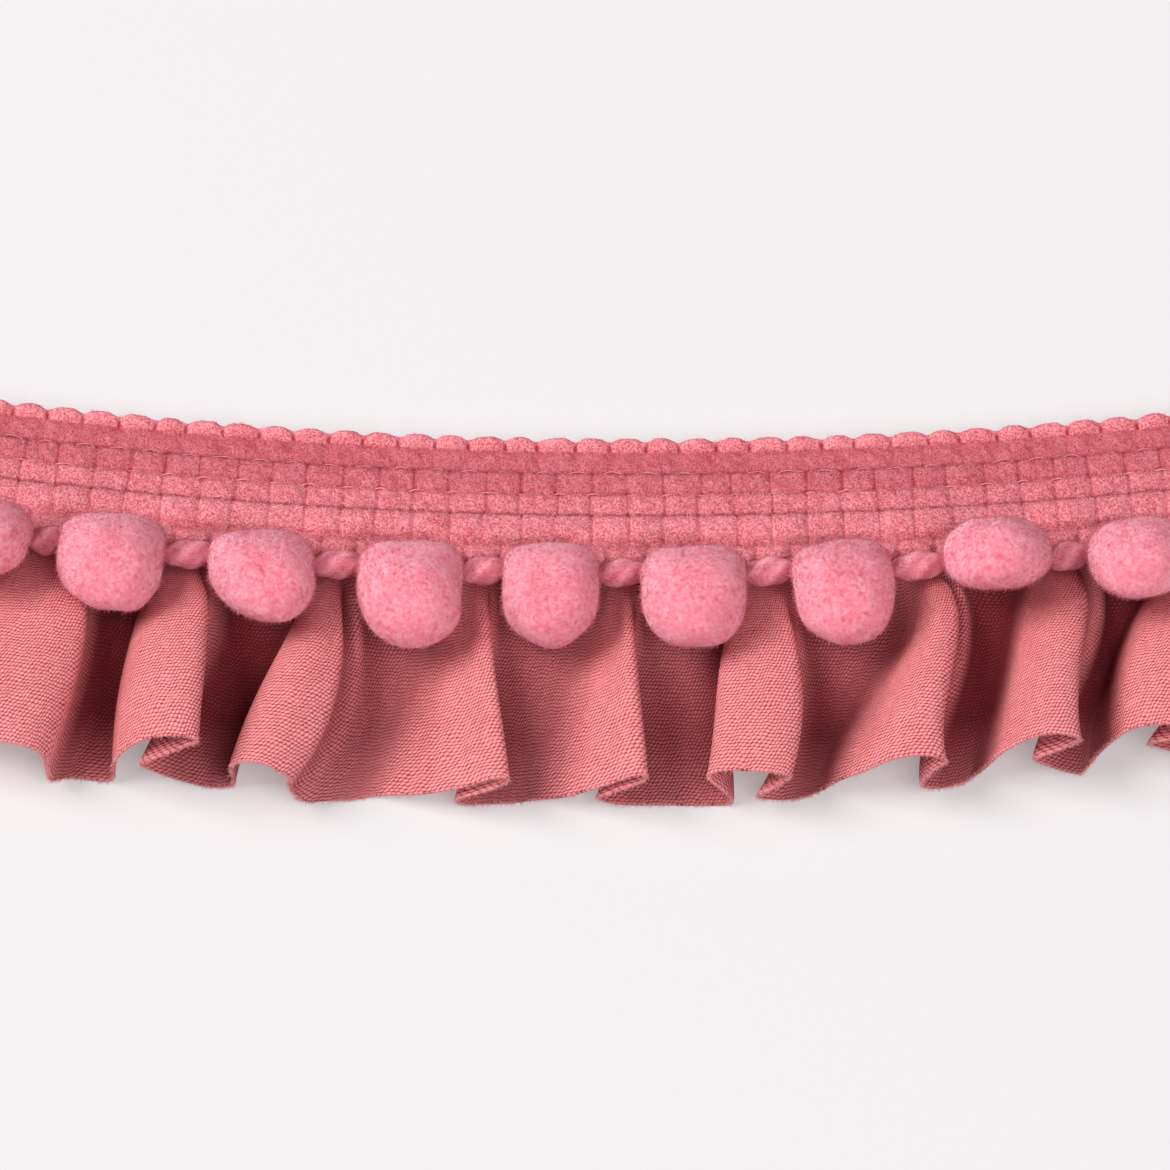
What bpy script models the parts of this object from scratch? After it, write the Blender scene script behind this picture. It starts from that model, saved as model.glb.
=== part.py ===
"""A cut length of ruffled pompom trim, lying on a table.

A knitted heading of soft yarn carries a row of pompoms, joined by short bound links, and a
gathered ruffle of plain woven cotton is sewn behind its lower edge. Sizes are in metres.
The trim is laid out straight, along X, and bent last: Y runs across it, from the ruffle's
hem up to the heading's scalloped edge, and Z is up from the table. The origin is in the
middle of the heading's flat back, where the trim is sewn to something.
"""

import math
from typing import NamedTuple

import bmesh
import bpy
from mathutils import Matrix, Vector

MM = 0.001

# Lengthwise sizes. One cell is one crossing of the heading's soft yarn.
CELL = 4.025 * MM
CELLS = 38
CELLS_PER_POMPOM = 4
POMPOMS = 9
LENGTH = CELLS * CELL
PITCH = CELLS_PER_POMPOM * CELL
BEND_RADIUS = 523 * MM

# The heading, across its width.
HEADING_TOP = 7.4 * MM
EDGE_HEIGHT = 1.3 * MM
SCALLOP_DEPTH = 0.75 * MM
CELL_DIP = 0.45 * MM
CROWN_SHARES = (0.27, 0.73)
STEPS_PER_CELL = 4
BACK_TOP = 6.9 * MM
BACK_BOTTOM = -3.4 * MM
POCKET_TOP = -4.6 * MM
POCKET_HEIGHT = 2.6 * MM
LIP_SLOPE = 0.1 * MM

# The links between the pompoms, and the axis that both are bound on.
LINK_Y = -11.8 * MM
LINK_Z = 4.3 * MM
LINK_RADIUS = 1.5 * MM
LINK_SEGMENTS = 8
LINK_RINGS = 7
LINK_BLUNTNESS = 0.95
LINK_CLEARANCE = 0.3 * MM
LINK_INNER_SHARE = 0.56

# The pompoms, about the link axis.
POMPOM_TOP_SHARE = 0.38
POMPOM_BACK_SHARE = 0.42
POMPOM_TOP_SQUARENESS = 3.6
POMPOM_BOTTOM_SQUARENESS = 2.15
POMPOM_BELOW_AXIS = 2.8 * MM
POMPOM_ABOVE_AXIS = 1.9 * MM
POMPOM_SEGMENTS = 15
POMPOM_RINGS = 10
LOCK_HEIGHT = 0.45 * MM
LOCK_EVERY = 3
LOCK_FREE_SHARE = 0.28

# The ruffle, a strip gathered along its top edge.
CLOTH = 1.0 * MM
FLOOR_LEVEL = CLOTH / 2
SEAM_Y = -9.4 * MM
TUCKED_IN = 3.2 * MM
RUFFLE_DROP = 30.3 * MM
SEAM_SPREAD = 2.5 * MM
VALLEY_SPREAD = 1.6 * MM
VALLEY_HEM_SHARE = 1 / 6
SWELL_FACTOR = 13.5
SEAM_VALLEY = 0.8 * MM
SEAM_CREST = 1.7 * MM
TURN_REACH = 1.2 * MM
TURN_HEIGHT = 1.0 * MM
OPEN_TURN = 0.3
CROWN_STEP = 2
TUCKED_STEPS = (6, 7, 8)
TUCK_LATENESS = 1.7
CREST_STARTS = 0.07
VALLEY_LANDS = 0.36
LIFTED = 3.0 * MM
LEAST_TRAVEL = 0.5
ROWS_DOWN = (0.07, 0.17, 0.28, 0.42, 0.6, 0.8, 1.0)


class Row(NamedTuple):
    """One lengthwise row of the heading, from the scalloped edge down."""

    name: str
    width: float
    crown: float
    groove: float
    shift: float


ROWS = (
    Row("edge loops", 2.3 * MM, 2.5 * MM, 1.75 * MM, 0.5),
    Row("recess", 2.9 * MM, 2.3 * MM, 1.8 * MM, 0.5),
    Row("upper rib", 3.0 * MM, 2.9 * MM, 2.2 * MM, 0.0),
    Row("lower rib", 3.0 * MM, 3.3 * MM, 2.7 * MM, 0.0),
    Row("deep rib", 3.9 * MM, 4.3 * MM, 3.3 * MM, 0.0),
    Row("hem loops", 2.4 * MM, 3.7 * MM, 3.1 * MM, 0.5),
)


class Pompom(NamedTuple):
    """One pompom: its shift along and down the trim, its size, and how it lies, in degrees."""

    shift: float
    sag: float
    width: float
    drop: float
    thickness: float
    tilt: float
    swing: float


POMPOM_TABLE = (
    Pompom(1.3 * MM, 0.6 * MM, 11.2 * MM, 10.8 * MM, 8.2 * MM, 34, -3),
    Pompom(-0.6 * MM, 0.1 * MM, 12.3 * MM, 11.8 * MM, 8.8 * MM, 17, 2),
    Pompom(-0.1 * MM, 0.7 * MM, 12.1 * MM, 11.0 * MM, 8.4 * MM, 20, 3),
    Pompom(0.1 * MM, 0.5 * MM, 12.2 * MM, 12.0 * MM, 8.8 * MM, 6, 2),
    Pompom(-0.4 * MM, -0.1 * MM, 11.3 * MM, 11.8 * MM, 9.2 * MM, 0, 0),
    Pompom(-1.0 * MM, 0.7 * MM, 12.3 * MM, 11.6 * MM, 8.8 * MM, 10, 2),
    Pompom(-0.7 * MM, -0.5 * MM, 11.8 * MM, 12.3 * MM, 7.8 * MM, 3, 3),
    Pompom(0.3 * MM, 0.8 * MM, 12.5 * MM, 11.8 * MM, 8.2 * MM, 50, -2),
    Pompom(-0.3 * MM, 1.1 * MM, 11.6 * MM, 12.2 * MM, 8.4 * MM, 36, 0),
)


class Fold(NamedTuple):
    """One fold of the ruffle at its hem, from left to right, in millimetres.

    The cloth leaves the table at foot, climbs to left, passes over crown and turns at nose.
    Where tuck lies left of nose the fold hangs over itself. It is back on the table at
    landing. more_drop lengthens the cloth on the fold, nose_drop also from its nose to its
    tuck, and valley_drop in the valley before it.
    left_swell and right_swell push the fold's sides along the trim, at a third and at two
    thirds of the way down.
    """

    foot: float
    left: tuple
    crown: tuple
    nose: tuple
    tuck: tuple
    landing: float
    more_drop: float
    nose_drop: float
    valley_drop: float
    left_swell: tuple
    right_swell: tuple


FOLDS = (
    Fold(
        -80.0, (-78.6, 5.2), (-76.4, 7.8), (-74.4, 7.4), (-74.2, 3.2), -73.0,
        1.4, 0.4, 1.4, (0, 0), (1, 0.5),
    ),
    Fold(
        -66.2, (-65.2, 6.4), (-60.5, 8.3), (-54.0, 7.5), (-52.2, 3.2), -50.2,
        1.3, 0.7, 1.2, (-1, -1), (2.9, 2),
    ),
    Fold(
        -45.4, (-46.4, 6.6), (-41.6, 10.4), (-36.4, 10.2), (-43.4, 5.6), -36.6,
        0.6, 0.5, 0.1, (-1.5, -1.3), (1.8, 1.1),
    ),
    Fold(
        -32.8, (-34.4, 5.8), (-31.0, 8.2), (-27.4, 6.8), (-26.4, 2.4), -25.2,
        1.3, 0.6, -0.3, (0.3, -0.3), (0, 0),
    ),
    Fold(
        -18.4, (-14.0, 2.4), (-9.4, 4.4), (-4.1, 6.4), (-10.2, 2.2), -7.6,
        0.7, 0.3, 0.4, (0, 0), (0, 0),
    ),
    Fold(
        -1.8, (2.0, 2.4), (5.6, 5.0), (10.3, 6.8), (4.4, 2.5), 7.8,
        0.3, 0.3, 0.2, (0, 0), (0, 0),
    ),
    Fold(
        20.6, (14.6, 5.4), (19.8, 7.2), (25.2, 6.8), (21.2, 3.0), 25.2,
        0.0, 0.7, 0.0, (-1.4, -0.9), (1.6, 1.9),
    ),
    Fold(
        28.6, (34.0, 6.4), (37.4, 8.4), (41.6, 7.8), (38.6, 3.4), 41.8,
        -0.4, 0.6, -0.5, (1.5, 0), (3.4, 1.2),
    ),
    Fold(
        44.8, (47.6, 6.6), (51.2, 9.4), (56.0, 9.0), (50.2, 5.0), 55.4,
        -1.1, 0.6, -1.4, (-0.6, 0), (2.4, 0.8),
    ),
    Fold(
        57.4, (60.4, 6.6), (63.8, 8.2), (69.4, 8.0), (62.6, 3.8), 70.4,
        -1.4, 0.4, -1.5, (-1.5, -1.7), (2, 1),
    ),
)
HEM_START = -82.0 * MM
HEM_END = 77.2 * MM
END_CUT = 0.3 * MM

YARN_PINK = (0.80, 0.19, 0.25, 1.0)
POMPOM_PINK = (0.86, 0.25, 0.32, 1.0)
LINK_PINK = (0.76, 0.17, 0.24, 1.0)
COTTON_PINK = (0.74, 0.17, 0.20, 1.0)
SOFT_ROUGHNESS = 0.95


def clear_scene():
    """Remove whatever the scene held before."""
    for obj in list(bpy.data.objects):
        bpy.data.objects.remove(obj, do_unlink=True)


def cloth_material(name, colour):
    """A plain matt textile in one colour."""
    material = bpy.data.materials.new(name)
    material.use_nodes = True
    shader = material.node_tree.nodes["Principled BSDF"]
    shader.inputs["Base Color"].default_value = colour
    shader.inputs["Roughness"].default_value = SOFT_ROUGHNESS
    shader.inputs["Metallic"].default_value = 0.0
    return material


def bent(x, y, z):
    """A point of the straight trim, moved to where it lies on the bent one."""
    angle = x / BEND_RADIUS
    reach = BEND_RADIUS - y
    return Vector((reach * math.sin(angle), BEND_RADIUS - reach * math.cos(angle), z))


def add_object(name, bm, material, collection):
    """Turn a bmesh into a named object with its material."""
    bmesh.ops.recalc_face_normals(bm, faces=bm.faces)
    mesh = bpy.data.meshes.new(name)
    bm.to_mesh(mesh)
    bm.free()
    mesh.shade_smooth()
    mesh.materials.append(material)
    obj = bpy.data.objects.new(name, mesh)
    collection.objects.link(obj)
    return obj


def laid_grid(columns, rows, place):
    """A grid of columns x rows points, each moved to place(column, row)."""
    bm = bmesh.new()
    bmesh.ops.create_grid(bm, x_segments=columns - 1, y_segments=rows - 1, size=1.0)
    for vertex in bm.verts:
        column = round((vertex.co.x + 1) / 2 * (columns - 1))
        row = round((vertex.co.y + 1) / 2 * (rows - 1))
        vertex.co = place(column, row)
    return bm


# ---------------------------------------------------------------- heading


def pinch(phase):
    """1 between two yarn crossings, where the stitches pull in, and 0 on a crossing."""
    return math.cos(math.pi * (phase % 1.0)) ** 4


def heading_section(phase):
    """The heading's closed outline across its width, at a phase of the cell's repeat."""
    scallop = SCALLOP_DEPTH * pinch(phase + ROWS[0].shift)
    top = HEADING_TOP
    points = [(top - scallop, EDGE_HEIGHT)]
    for row in ROWS:
        crown = row.crown - CELL_DIP * pinch(phase + row.shift)
        drawn_in = scallop if row is ROWS[0] else 0.0
        for share in CROWN_SHARES:
            points.append((top - row.width * share - drawn_in * (1 - share), crown))
        top -= row.width
        points.append((top, row.groove))
    points.append((top + LIP_SLOPE, POCKET_HEIGHT))
    points.append((POCKET_TOP, POCKET_HEIGHT))
    points.append((BACK_BOTTOM, 0.0))
    points.append((BACK_TOP, 0.0))
    return points


def make_heading(material, collection):
    """The knitted heading: cells of soft yarn in rows, over a flat back.

    Its section is laid along the trim as a grid, whose two long sides then meet, and the
    cut ends are filled.
    """
    stations = CELLS * STEPS_PER_CELL + 1
    sections = [heading_section(step / STEPS_PER_CELL) for step in range(STEPS_PER_CELL)]
    around = len(sections[0])

    def place(column, row):
        y, z = sections[column % STEPS_PER_CELL][row % around]
        return bent(column * CELL / STEPS_PER_CELL - LENGTH / 2, y, z)

    bm = laid_grid(stations, around + 1, place)
    bmesh.ops.remove_doubles(bm, verts=bm.verts, dist=0.001 * MM)
    bmesh.ops.holes_fill(bm, edges=bm.edges, sides=0)
    add_object("heading", bm, material, collection)


# ---------------------------------------------------------------- ruffle


def seam_centre(index):
    """Where a fold meets the seam: midway between two pompoms."""
    return (index - (len(FOLDS) - 1) / 2) * PITCH


def hem_points(fold):
    """The fold's ten guide points at the hem, as (x, z), in metres."""
    nose = Vector(fold.nose) * MM
    tuck = Vector(fold.tuck) * MM
    overhang = (nose.x - tuck.x) / (2 * TURN_REACH)
    reach = TURN_REACH * max(-OPEN_TURN, min(1.0, overhang))
    return [
        (fold.foot * MM, FLOOR_LEVEL),
        tuple(Vector(fold.left) * MM),
        tuple(Vector(fold.crown) * MM),
        (nose.x - TURN_REACH, nose.y + TURN_HEIGHT),
        tuple(nose),
        (nose.x - reach, nose.y - TURN_HEIGHT),
        (tuck.x + reach, tuck.y + TURN_HEIGHT),
        tuple(tuck),
        (tuck.x + max(reach, OPEN_TURN * TURN_REACH), tuck.y - TURN_HEIGHT),
        (fold.landing * MM, FLOOR_LEVEL),
    ]


class Guide(NamedTuple):
    """A fall line of the ruffle: its place at the seam and at the hem.

    third and two_thirds push it along the trim at those shares of the way down. lateness is
    how late it leaves its place at the seam, from 1 for a straight line.
    """

    seam_x: float
    seam_z: float
    hem_x: float
    hem_z: float
    drop: float
    third: float = 0.0
    two_thirds: float = 0.0
    lateness: float = 1.0


def mirrored(guide, neighbour):
    """The guide as far beyond this one as its neighbour is before it."""
    return Guide(*(2 * here - there for here, there in zip(guide, neighbour)))


def valley_drop(fold):
    """The cloth's drop in the valley before a fold."""
    return RUFFLE_DROP + fold.valley_drop * MM


def step_drop(index, step, last_step):
    """The cloth's drop at a step of a fold, whose first and last steps lie in its valleys."""
    fold = FOLDS[index]
    if step == 0:
        return valley_drop(fold)
    if step == last_step:
        return valley_drop(FOLDS[min(index + 1, len(FOLDS) - 1)])
    if step <= CROWN_STEP:
        return RUFFLE_DROP + fold.more_drop * MM
    return RUFFLE_DROP + (fold.more_drop + fold.nose_drop) * MM


def ruffle_guides():
    """Fall lines across all the folds, with two on the table in each valley.

    The first and the last guide lie past the cut ends, so that the cloth reaches the ends.
    """
    end_x = LENGTH / 2 - END_CUT
    start = Guide(-end_x, SEAM_VALLEY, HEM_START, FLOOR_LEVEL, valley_drop(FOLDS[0]))
    guides = [start]
    last = HEM_START
    last_swell = Vector((0.0, 0.0))
    for index, fold in enumerate(FOLDS):
        centre = seam_centre(index)
        points = hem_points(fold)
        left = Vector(fold.left_swell) * MM
        right = Vector(fold.right_swell) * MM
        for side in (-1, 1):
            share = 0.5 + side * VALLEY_HEM_SHARE
            seam_x = centre - PITCH / 2 + side * VALLEY_SPREAD
            hem_x = last + (points[0][0] - last) * share
            swell = last_swell.lerp(left, share)
            if seam_x > -end_x:
                guides.append(Guide(seam_x, SEAM_VALLEY, hem_x, FLOOR_LEVEL, valley_drop(fold), *swell))
        for step, (hem_x, hem_z) in enumerate(points):
            across = 2 * step / (len(points) - 1) - 1
            seam_x = centre + across * SEAM_SPREAD
            seam_z = SEAM_VALLEY + (SEAM_CREST - SEAM_VALLEY) * (1 - across * across)
            swell = left.lerp(right, min(1.0, max(0.0, (step - 1) / 3)))
            lateness = TUCK_LATENESS if step in TUCKED_STEPS else 1.0
            drop = step_drop(index, step, len(points) - 1)
            guides.append(Guide(seam_x, seam_z, hem_x, hem_z, drop, *swell, lateness))
        last = points[-1][0]
        last_swell = right
    guides.append(Guide(end_x, SEAM_VALLEY, HEM_END, FLOOR_LEVEL, valley_drop(FOLDS[-1])))
    return [mirrored(start, guides[1])] + guides + [mirrored(guides[-1], guides[-2])]


def ruffle_point(guide, down):
    """A point of a fall line: down is 0 at the seam and 1 at the hem."""
    rise = max(0.0, (down - CREST_STARTS) / (1 - CREST_STARTS))
    crest = 1 - (1 - rise) ** 2
    valley = 1 - (1 - min(1.0, down / VALLEY_LANDS)) ** 2
    lifted = min(1.0, (guide.hem_z - FLOOR_LEVEL) / LIFTED)
    share = valley + (crest - valley) * lifted
    x = guide.seam_x + (guide.hem_x - guide.seam_x) * down ** guide.lateness
    pushed = guide.third * (2 / 3 - down) + guide.two_thirds * (down - 1 / 3)
    x += SWELL_FACTOR * down * (1 - down) * pushed
    z = guide.seam_z + (guide.hem_z - guide.seam_z) * share
    travel = guide.drop * down
    sideways = (x - guide.seam_x) ** 2 + (z - guide.seam_z) ** 2
    y = SEAM_Y - math.sqrt(max(travel ** 2 - sideways, (LEAST_TRAVEL * travel) ** 2))
    return Vector((x, y, z))


def blended(points, place):
    """The cubic B-spline through guide points, at place, counted in guides."""
    index = min(int(place), len(points) - 4)
    t = place - index
    weights = (
        (1 - t) ** 3 / 6,
        (3 * t ** 3 - 6 * t ** 2 + 4) / 6,
        (-3 * t ** 3 + 3 * t ** 2 + 3 * t + 1) / 6,
        t ** 3 / 6,
    )
    return sum((points[index + k] * w for k, w in enumerate(weights)), Vector((0, 0, 0)))


def make_ruffle(material, collection):
    """The gathered cotton strip, tucked under the heading and folded out to its hem."""
    guides = ruffle_guides()
    downs = (0.0,) + ROWS_DOWN
    rows = [[ruffle_point(guide, down) for guide in guides] for down in downs]
    tucked = [point + Vector((0, TUCKED_IN, 0)) for point in rows[0]]
    rows.insert(0, tucked)
    columns = len(guides) - 2

    def place(column, row):
        return bent(*blended(rows[row], float(column)))

    bm = laid_grid(columns, len(rows), place)
    obj = add_object("ruffle", bm, material, collection)
    solidify = obj.modifiers.new("Cloth", "SOLIDIFY")
    solidify.thickness = CLOTH
    solidify.offset = 0.0


# ---------------------------------------------------------------- pompoms and links


def pompom_radius(direction, size):
    """How far the pompom's skin is from its centre, along a unit direction.

    The top is squarer than the bottom, because the pile is bound there.
    """
    above = direction.y > 0
    tall = size.drop * (POMPOM_TOP_SHARE if above else 1 - POMPOM_TOP_SHARE)
    deep = size.thickness * (POMPOM_BACK_SHARE if direction.z < 0 else 1 - POMPOM_BACK_SHARE)
    power = POMPOM_TOP_SQUARENESS if above else POMPOM_BOTTOM_SQUARENESS
    total = (
        abs(direction.x / (size.width / 2)) ** power
        + abs(direction.y / tall) ** power
        + abs(direction.z / deep) ** power
    )
    return total ** (-1 / power)


def place_on_link(obj, x, sag=0.0, tilt=0.0, swing=0.0):
    """Put an object on the link axis at x, lowered by sag, tilted up and swung sideways."""
    turn = Matrix.Rotation(x / BEND_RADIUS, 4, "Z")
    swung = Matrix.Rotation(math.radians(swing), 4, "Z")
    tilted = Matrix.Rotation(-math.radians(tilt), 4, "X")
    place = Matrix.Translation(bent(x, LINK_Y - sag, LINK_Z))
    obj.matrix_world = place @ turn @ swung @ tilted


def pompom_x(index):
    """Where a pompom hangs on the link axis, along the trim."""
    return (index - (POMPOMS - 1) / 2) * PITCH + POMPOM_TABLE[index].shift


def pompom_centre(size):
    """The pompom's widest place, from its place on the link axis.

    A pompom of any size hangs with half its drop POMPOM_BELOW_AXIS. Its widest place is
    nearer to its lower end, because its top is bound.
    """
    lowered = size.drop * (0.5 - POMPOM_TOP_SHARE)
    return Vector((0, -POMPOM_BELOW_AXIS - lowered, POMPOM_ABOVE_AXIS))


def make_pompom(index, size, material, collection):
    """One pompom: a soft clipped puff, with locks of pile standing out of it."""
    bm = bmesh.new()
    bmesh.ops.create_uvsphere(
        bm, u_segments=POMPOM_SEGMENTS, v_segments=POMPOM_RINGS, radius=1.0
    )
    bmesh.ops.rotate(bm, matrix=Matrix.Rotation(math.pi / 2, 3, "Y"), verts=bm.verts)
    centre = pompom_centre(size)
    for vertex in bm.verts:
        direction = vertex.co.normalized()
        vertex.co = centre + direction * pompom_radius(direction, size)
    clear_of_ends = size.width * LOCK_FREE_SHARE
    locks = [
        face
        for face in bm.faces
        if len(face.verts) == 4 and abs(face.calc_center_median().x) < clear_of_ends
    ]
    bmesh.ops.poke(bm, faces=locks[index % LOCK_EVERY :: LOCK_EVERY], offset=LOCK_HEIGHT)
    obj = add_object(f"pompom_{index + 1:02d}", bm, material, collection)
    place_on_link(obj, pompom_x(index), size.sag, size.tilt, size.swing)


def bound_reach(size):
    """How far a pompom's skin is from its middle, along the inner side of a link.

    That side is nearest to the pompom's centre, where the pompom is widest.
    """
    centre = pompom_centre(size)
    inner = LINK_RADIUS * LINK_INNER_SHARE
    down_share = (size.sag - centre.y - inner) / (size.drop * POMPOM_TOP_SHARE)
    deep_share = (centre.z - inner) / (size.thickness * POMPOM_BACK_SHARE)
    power = POMPOM_TOP_SQUARENESS
    left_over = 1 - abs(down_share) ** power - abs(deep_share) ** power
    return size.width / 2 * left_over ** (1 / power)


def make_link(index, material, collection):
    """One bound link of the pompoms' roving: a small bead between two of them."""
    left = pompom_x(index) + bound_reach(POMPOM_TABLE[index]) + LINK_CLEARANCE
    right = pompom_x(index + 1) - bound_reach(POMPOM_TABLE[index + 1]) - LINK_CLEARANCE
    bm = bmesh.new()
    bmesh.ops.create_uvsphere(
        bm, u_segments=LINK_SEGMENTS, v_segments=LINK_RINGS, radius=LINK_RADIUS
    )
    bmesh.ops.rotate(bm, matrix=Matrix.Rotation(math.pi / 2, 3, "Y"), verts=bm.verts)
    for vertex in bm.verts:
        along = vertex.co.x / LINK_RADIUS
        blunt = math.copysign(abs(along) ** (1 / LINK_BLUNTNESS), along)
        vertex.co.x = blunt * (right - left) / 2
    obj = add_object(f"link_{index + 1:02d}", bm, material, collection)
    place_on_link(obj, (left + right) / 2)


def main():
    """Build the trim's pieces in one collection."""
    clear_scene()
    collection = bpy.data.collections.new("pompom_ruffle_trim")
    bpy.context.scene.collection.children.link(collection)
    yarn = cloth_material("heading_yarn", YARN_PINK)
    pile = cloth_material("pompom_pile", POMPOM_PINK)
    cotton = cloth_material("ruffle_cotton", COTTON_PINK)
    bound_yarn = cloth_material("link_yarn", LINK_PINK)
    make_heading(yarn, collection)
    make_ruffle(cotton, collection)
    for index, size in enumerate(POMPOM_TABLE):
        make_pompom(index, size, pile, collection)
    for index in range(POMPOMS - 1):
        make_link(index, bound_yarn, collection)


if __name__ == "__main__":
    main()
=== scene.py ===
"""The looks of a ruffled pompom trim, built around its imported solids.

Everything is in metres. As in the solids, the trim is laid out straight along X and bent
last: Y runs across it, from the ruffle's hem up to the scalloped edge, and Z is up from the
table. A place is worked out in that straight layout and goes through Lay.bend once.
"""

import logging
import math
from dataclasses import dataclass
from enum import Enum
from typing import NamedTuple

import bmesh
import bpy
import numpy as np
from mathutils import Matrix, Vector


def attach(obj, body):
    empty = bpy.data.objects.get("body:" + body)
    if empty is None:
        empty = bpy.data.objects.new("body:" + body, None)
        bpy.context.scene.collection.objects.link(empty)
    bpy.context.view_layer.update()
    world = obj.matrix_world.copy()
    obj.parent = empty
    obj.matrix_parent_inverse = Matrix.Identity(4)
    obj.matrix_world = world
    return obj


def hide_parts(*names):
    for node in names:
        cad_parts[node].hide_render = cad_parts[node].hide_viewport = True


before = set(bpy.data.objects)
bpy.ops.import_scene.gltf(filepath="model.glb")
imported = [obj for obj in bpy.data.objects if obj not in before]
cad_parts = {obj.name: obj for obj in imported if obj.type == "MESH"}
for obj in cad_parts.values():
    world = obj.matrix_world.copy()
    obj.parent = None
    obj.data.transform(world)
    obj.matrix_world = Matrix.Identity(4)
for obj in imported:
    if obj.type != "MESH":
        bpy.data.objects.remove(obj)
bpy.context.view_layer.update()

MM = 0.001
LOG = logging.getLogger("trim")

Colour = tuple[float, float, float, float]
Measure = float | np.ndarray


# ------------------------------------------------------------------ layout and meshes


@dataclass(frozen=True)
class Lay:
    """How the trim is laid out, in the same sizes as its solids."""

    cell: float = 4.025 * MM
    cells: int = 38
    cells_per_pompom: int = 4
    pompoms: int = 9
    bend_radius: float = 523 * MM
    link_y: float = -11.8 * MM
    link_z: float = 4.3 * MM

    @property
    def length(self) -> float:
        """The heading's length, before it is bent."""
        return self.cell * self.cells

    @property
    def pitch(self) -> float:
        """The distance from one pompom to the next."""
        return self.cell * self.cells_per_pompom

    def bend(self, points: np.ndarray) -> np.ndarray:
        """Move points of the straight layout to where they lie on the bent trim.

        Args:
            points: places, with x, y and z along the last axis.

        Returns:
            The places on the bent trim, in the same shape.
        """
        angle = points[..., 0] / self.bend_radius
        reach = self.bend_radius - points[..., 1]
        bent = [reach * np.sin(angle), self.bend_radius - reach * np.cos(angle), points[..., 2]]
        return np.stack(bent, axis=-1)

    def pompom_x(self, index: int, shift: float) -> float:
        """Where a pompom hangs along the trim, with its own shift."""
        return (index - (self.pompoms - 1) / 2) * self.pitch + shift


def smooth_noise(x: np.ndarray, y: np.ndarray, scale: float, seed: int, waves: int = 9) -> np.ndarray:
    """A smooth, even noise from a few crossed waves.

    Args:
        x: first coordinate, in metres.
        y: second coordinate, in metres.
        scale: the usual distance between two humps, in metres.
        seed: picks the waves.
        waves: how many waves are added.

    Returns:
        Values about 0, mostly within 1.
    """
    rng = np.random.default_rng(seed)
    total = np.zeros(np.broadcast(x, y).shape)
    for _ in range(waves):
        heading = rng.uniform(0, 2 * math.pi)
        count = 2 * math.pi / (scale * rng.uniform(0.7, 1.6))
        total += np.sin(count * (x * math.cos(heading) + y * math.sin(heading)) + rng.uniform(0, 7))
    return total / math.sqrt(waves)


def unit(vectors: np.ndarray) -> np.ndarray:
    """Vectors scaled to a length of 1."""
    return vectors / (np.linalg.norm(vectors, axis=-1, keepdims=True) + 1e-12)


def bell(distance: np.ndarray, reach: float) -> np.ndarray:
    """1 at no distance, falling smoothly to nearly 0 at twice the reach."""
    return np.exp(-((distance / reach) ** 2))


def chance(number: np.ndarray) -> np.ndarray:
    """A random share for each number, from -0.5 to 0.5, and always the same for the same number."""
    return np.modf(np.abs(np.sin(number * 12.9898) * 43758.5453))[0] - 0.5


def grid_normals(points: np.ndarray) -> np.ndarray:
    """Unit normals of a surface given as rows and columns of places."""
    return unit(np.cross(np.gradient(points, axis=0), np.gradient(points, axis=1)))


def laid_grid(points: np.ndarray, shades: np.ndarray | None = None) -> bmesh.types.BMesh:
    """A grid of faces whose corners are laid on rows and columns of places.

    Args:
        points: the places by row and column.
        shades: how light the piece is at each place, from 0 to 1, or None for none.

    Returns:
        The grid.
    """
    rows, columns = points.shape[:2]
    bm = bmesh.new()
    bmesh.ops.create_grid(bm, x_segments=columns - 1, y_segments=rows - 1, size=1.0)
    lay_corners(bm, points.reshape(-1, 3), shades)
    return bm


def lay_corners(bm: bmesh.types.BMesh, places: np.ndarray, shades: np.ndarray | None) -> None:
    """Move a bmesh's corners to places, and note their shades in the colour layer "shade".

    Args:
        bm: the bmesh.
        places: one place for each corner.
        shades: one shade for each corner, by row and column or in a line, or None for none.
    """
    for vertex, place in zip(bm.verts, places):
        vertex.co = place
    if shades is not None:
        layer = bm.verts.layers.float_color.new("shade")
        for vertex, shade in zip(bm.verts, shades.ravel()):
            vertex[layer] = (shade, shade, shade, 1.0)


def close_ends(bm: bmesh.types.BMesh) -> None:
    """Join a rolled grid's seam and fill its two ends."""
    bmesh.ops.remove_doubles(bm, verts=bm.verts, dist=0.001 * MM)
    bmesh.ops.holes_fill(bm, edges=bm.edges, sides=0)
    bmesh.ops.recalc_face_normals(bm, faces=bm.faces)


def finished_mesh(name: str, bm: bmesh.types.BMesh) -> bpy.types.Mesh:
    """Write a bmesh to a smooth-shaded mesh and free it.

    Args:
        name: the mesh's name.
        bm: the bmesh.

    Returns:
        The mesh.
    """
    mesh = bpy.data.meshes.new(name)
    bm.to_mesh(mesh)
    bm.free()
    mesh.shade_smooth()
    return mesh


def tube_mesh(name: str, path: np.ndarray, radii: np.ndarray, sides: int) -> bpy.types.Mesh:
    """A closed tube along a path, with its own radius at each point.

    Args:
        name: the mesh's name.
        path: the tube's middle line, one place a row.
        radii: the radius at each place.
        sides: how many sides the tube has.

    Returns:
        The tube's mesh, with filled ends.
    """
    forward = unit(np.gradient(path, axis=0))
    side = unit(np.cross(forward, (0.0, 0.0, 1.0)))
    upward = np.cross(side, forward)
    turns = np.linspace(0, 2 * math.pi, sides + 1)[:, None, None]
    ring = side[None] * np.cos(turns) + upward[None] * np.sin(turns)
    bm = laid_grid(path[None] + ring * radii[None, :, None])
    close_ends(bm)
    return finished_mesh(name, bm)


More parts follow.
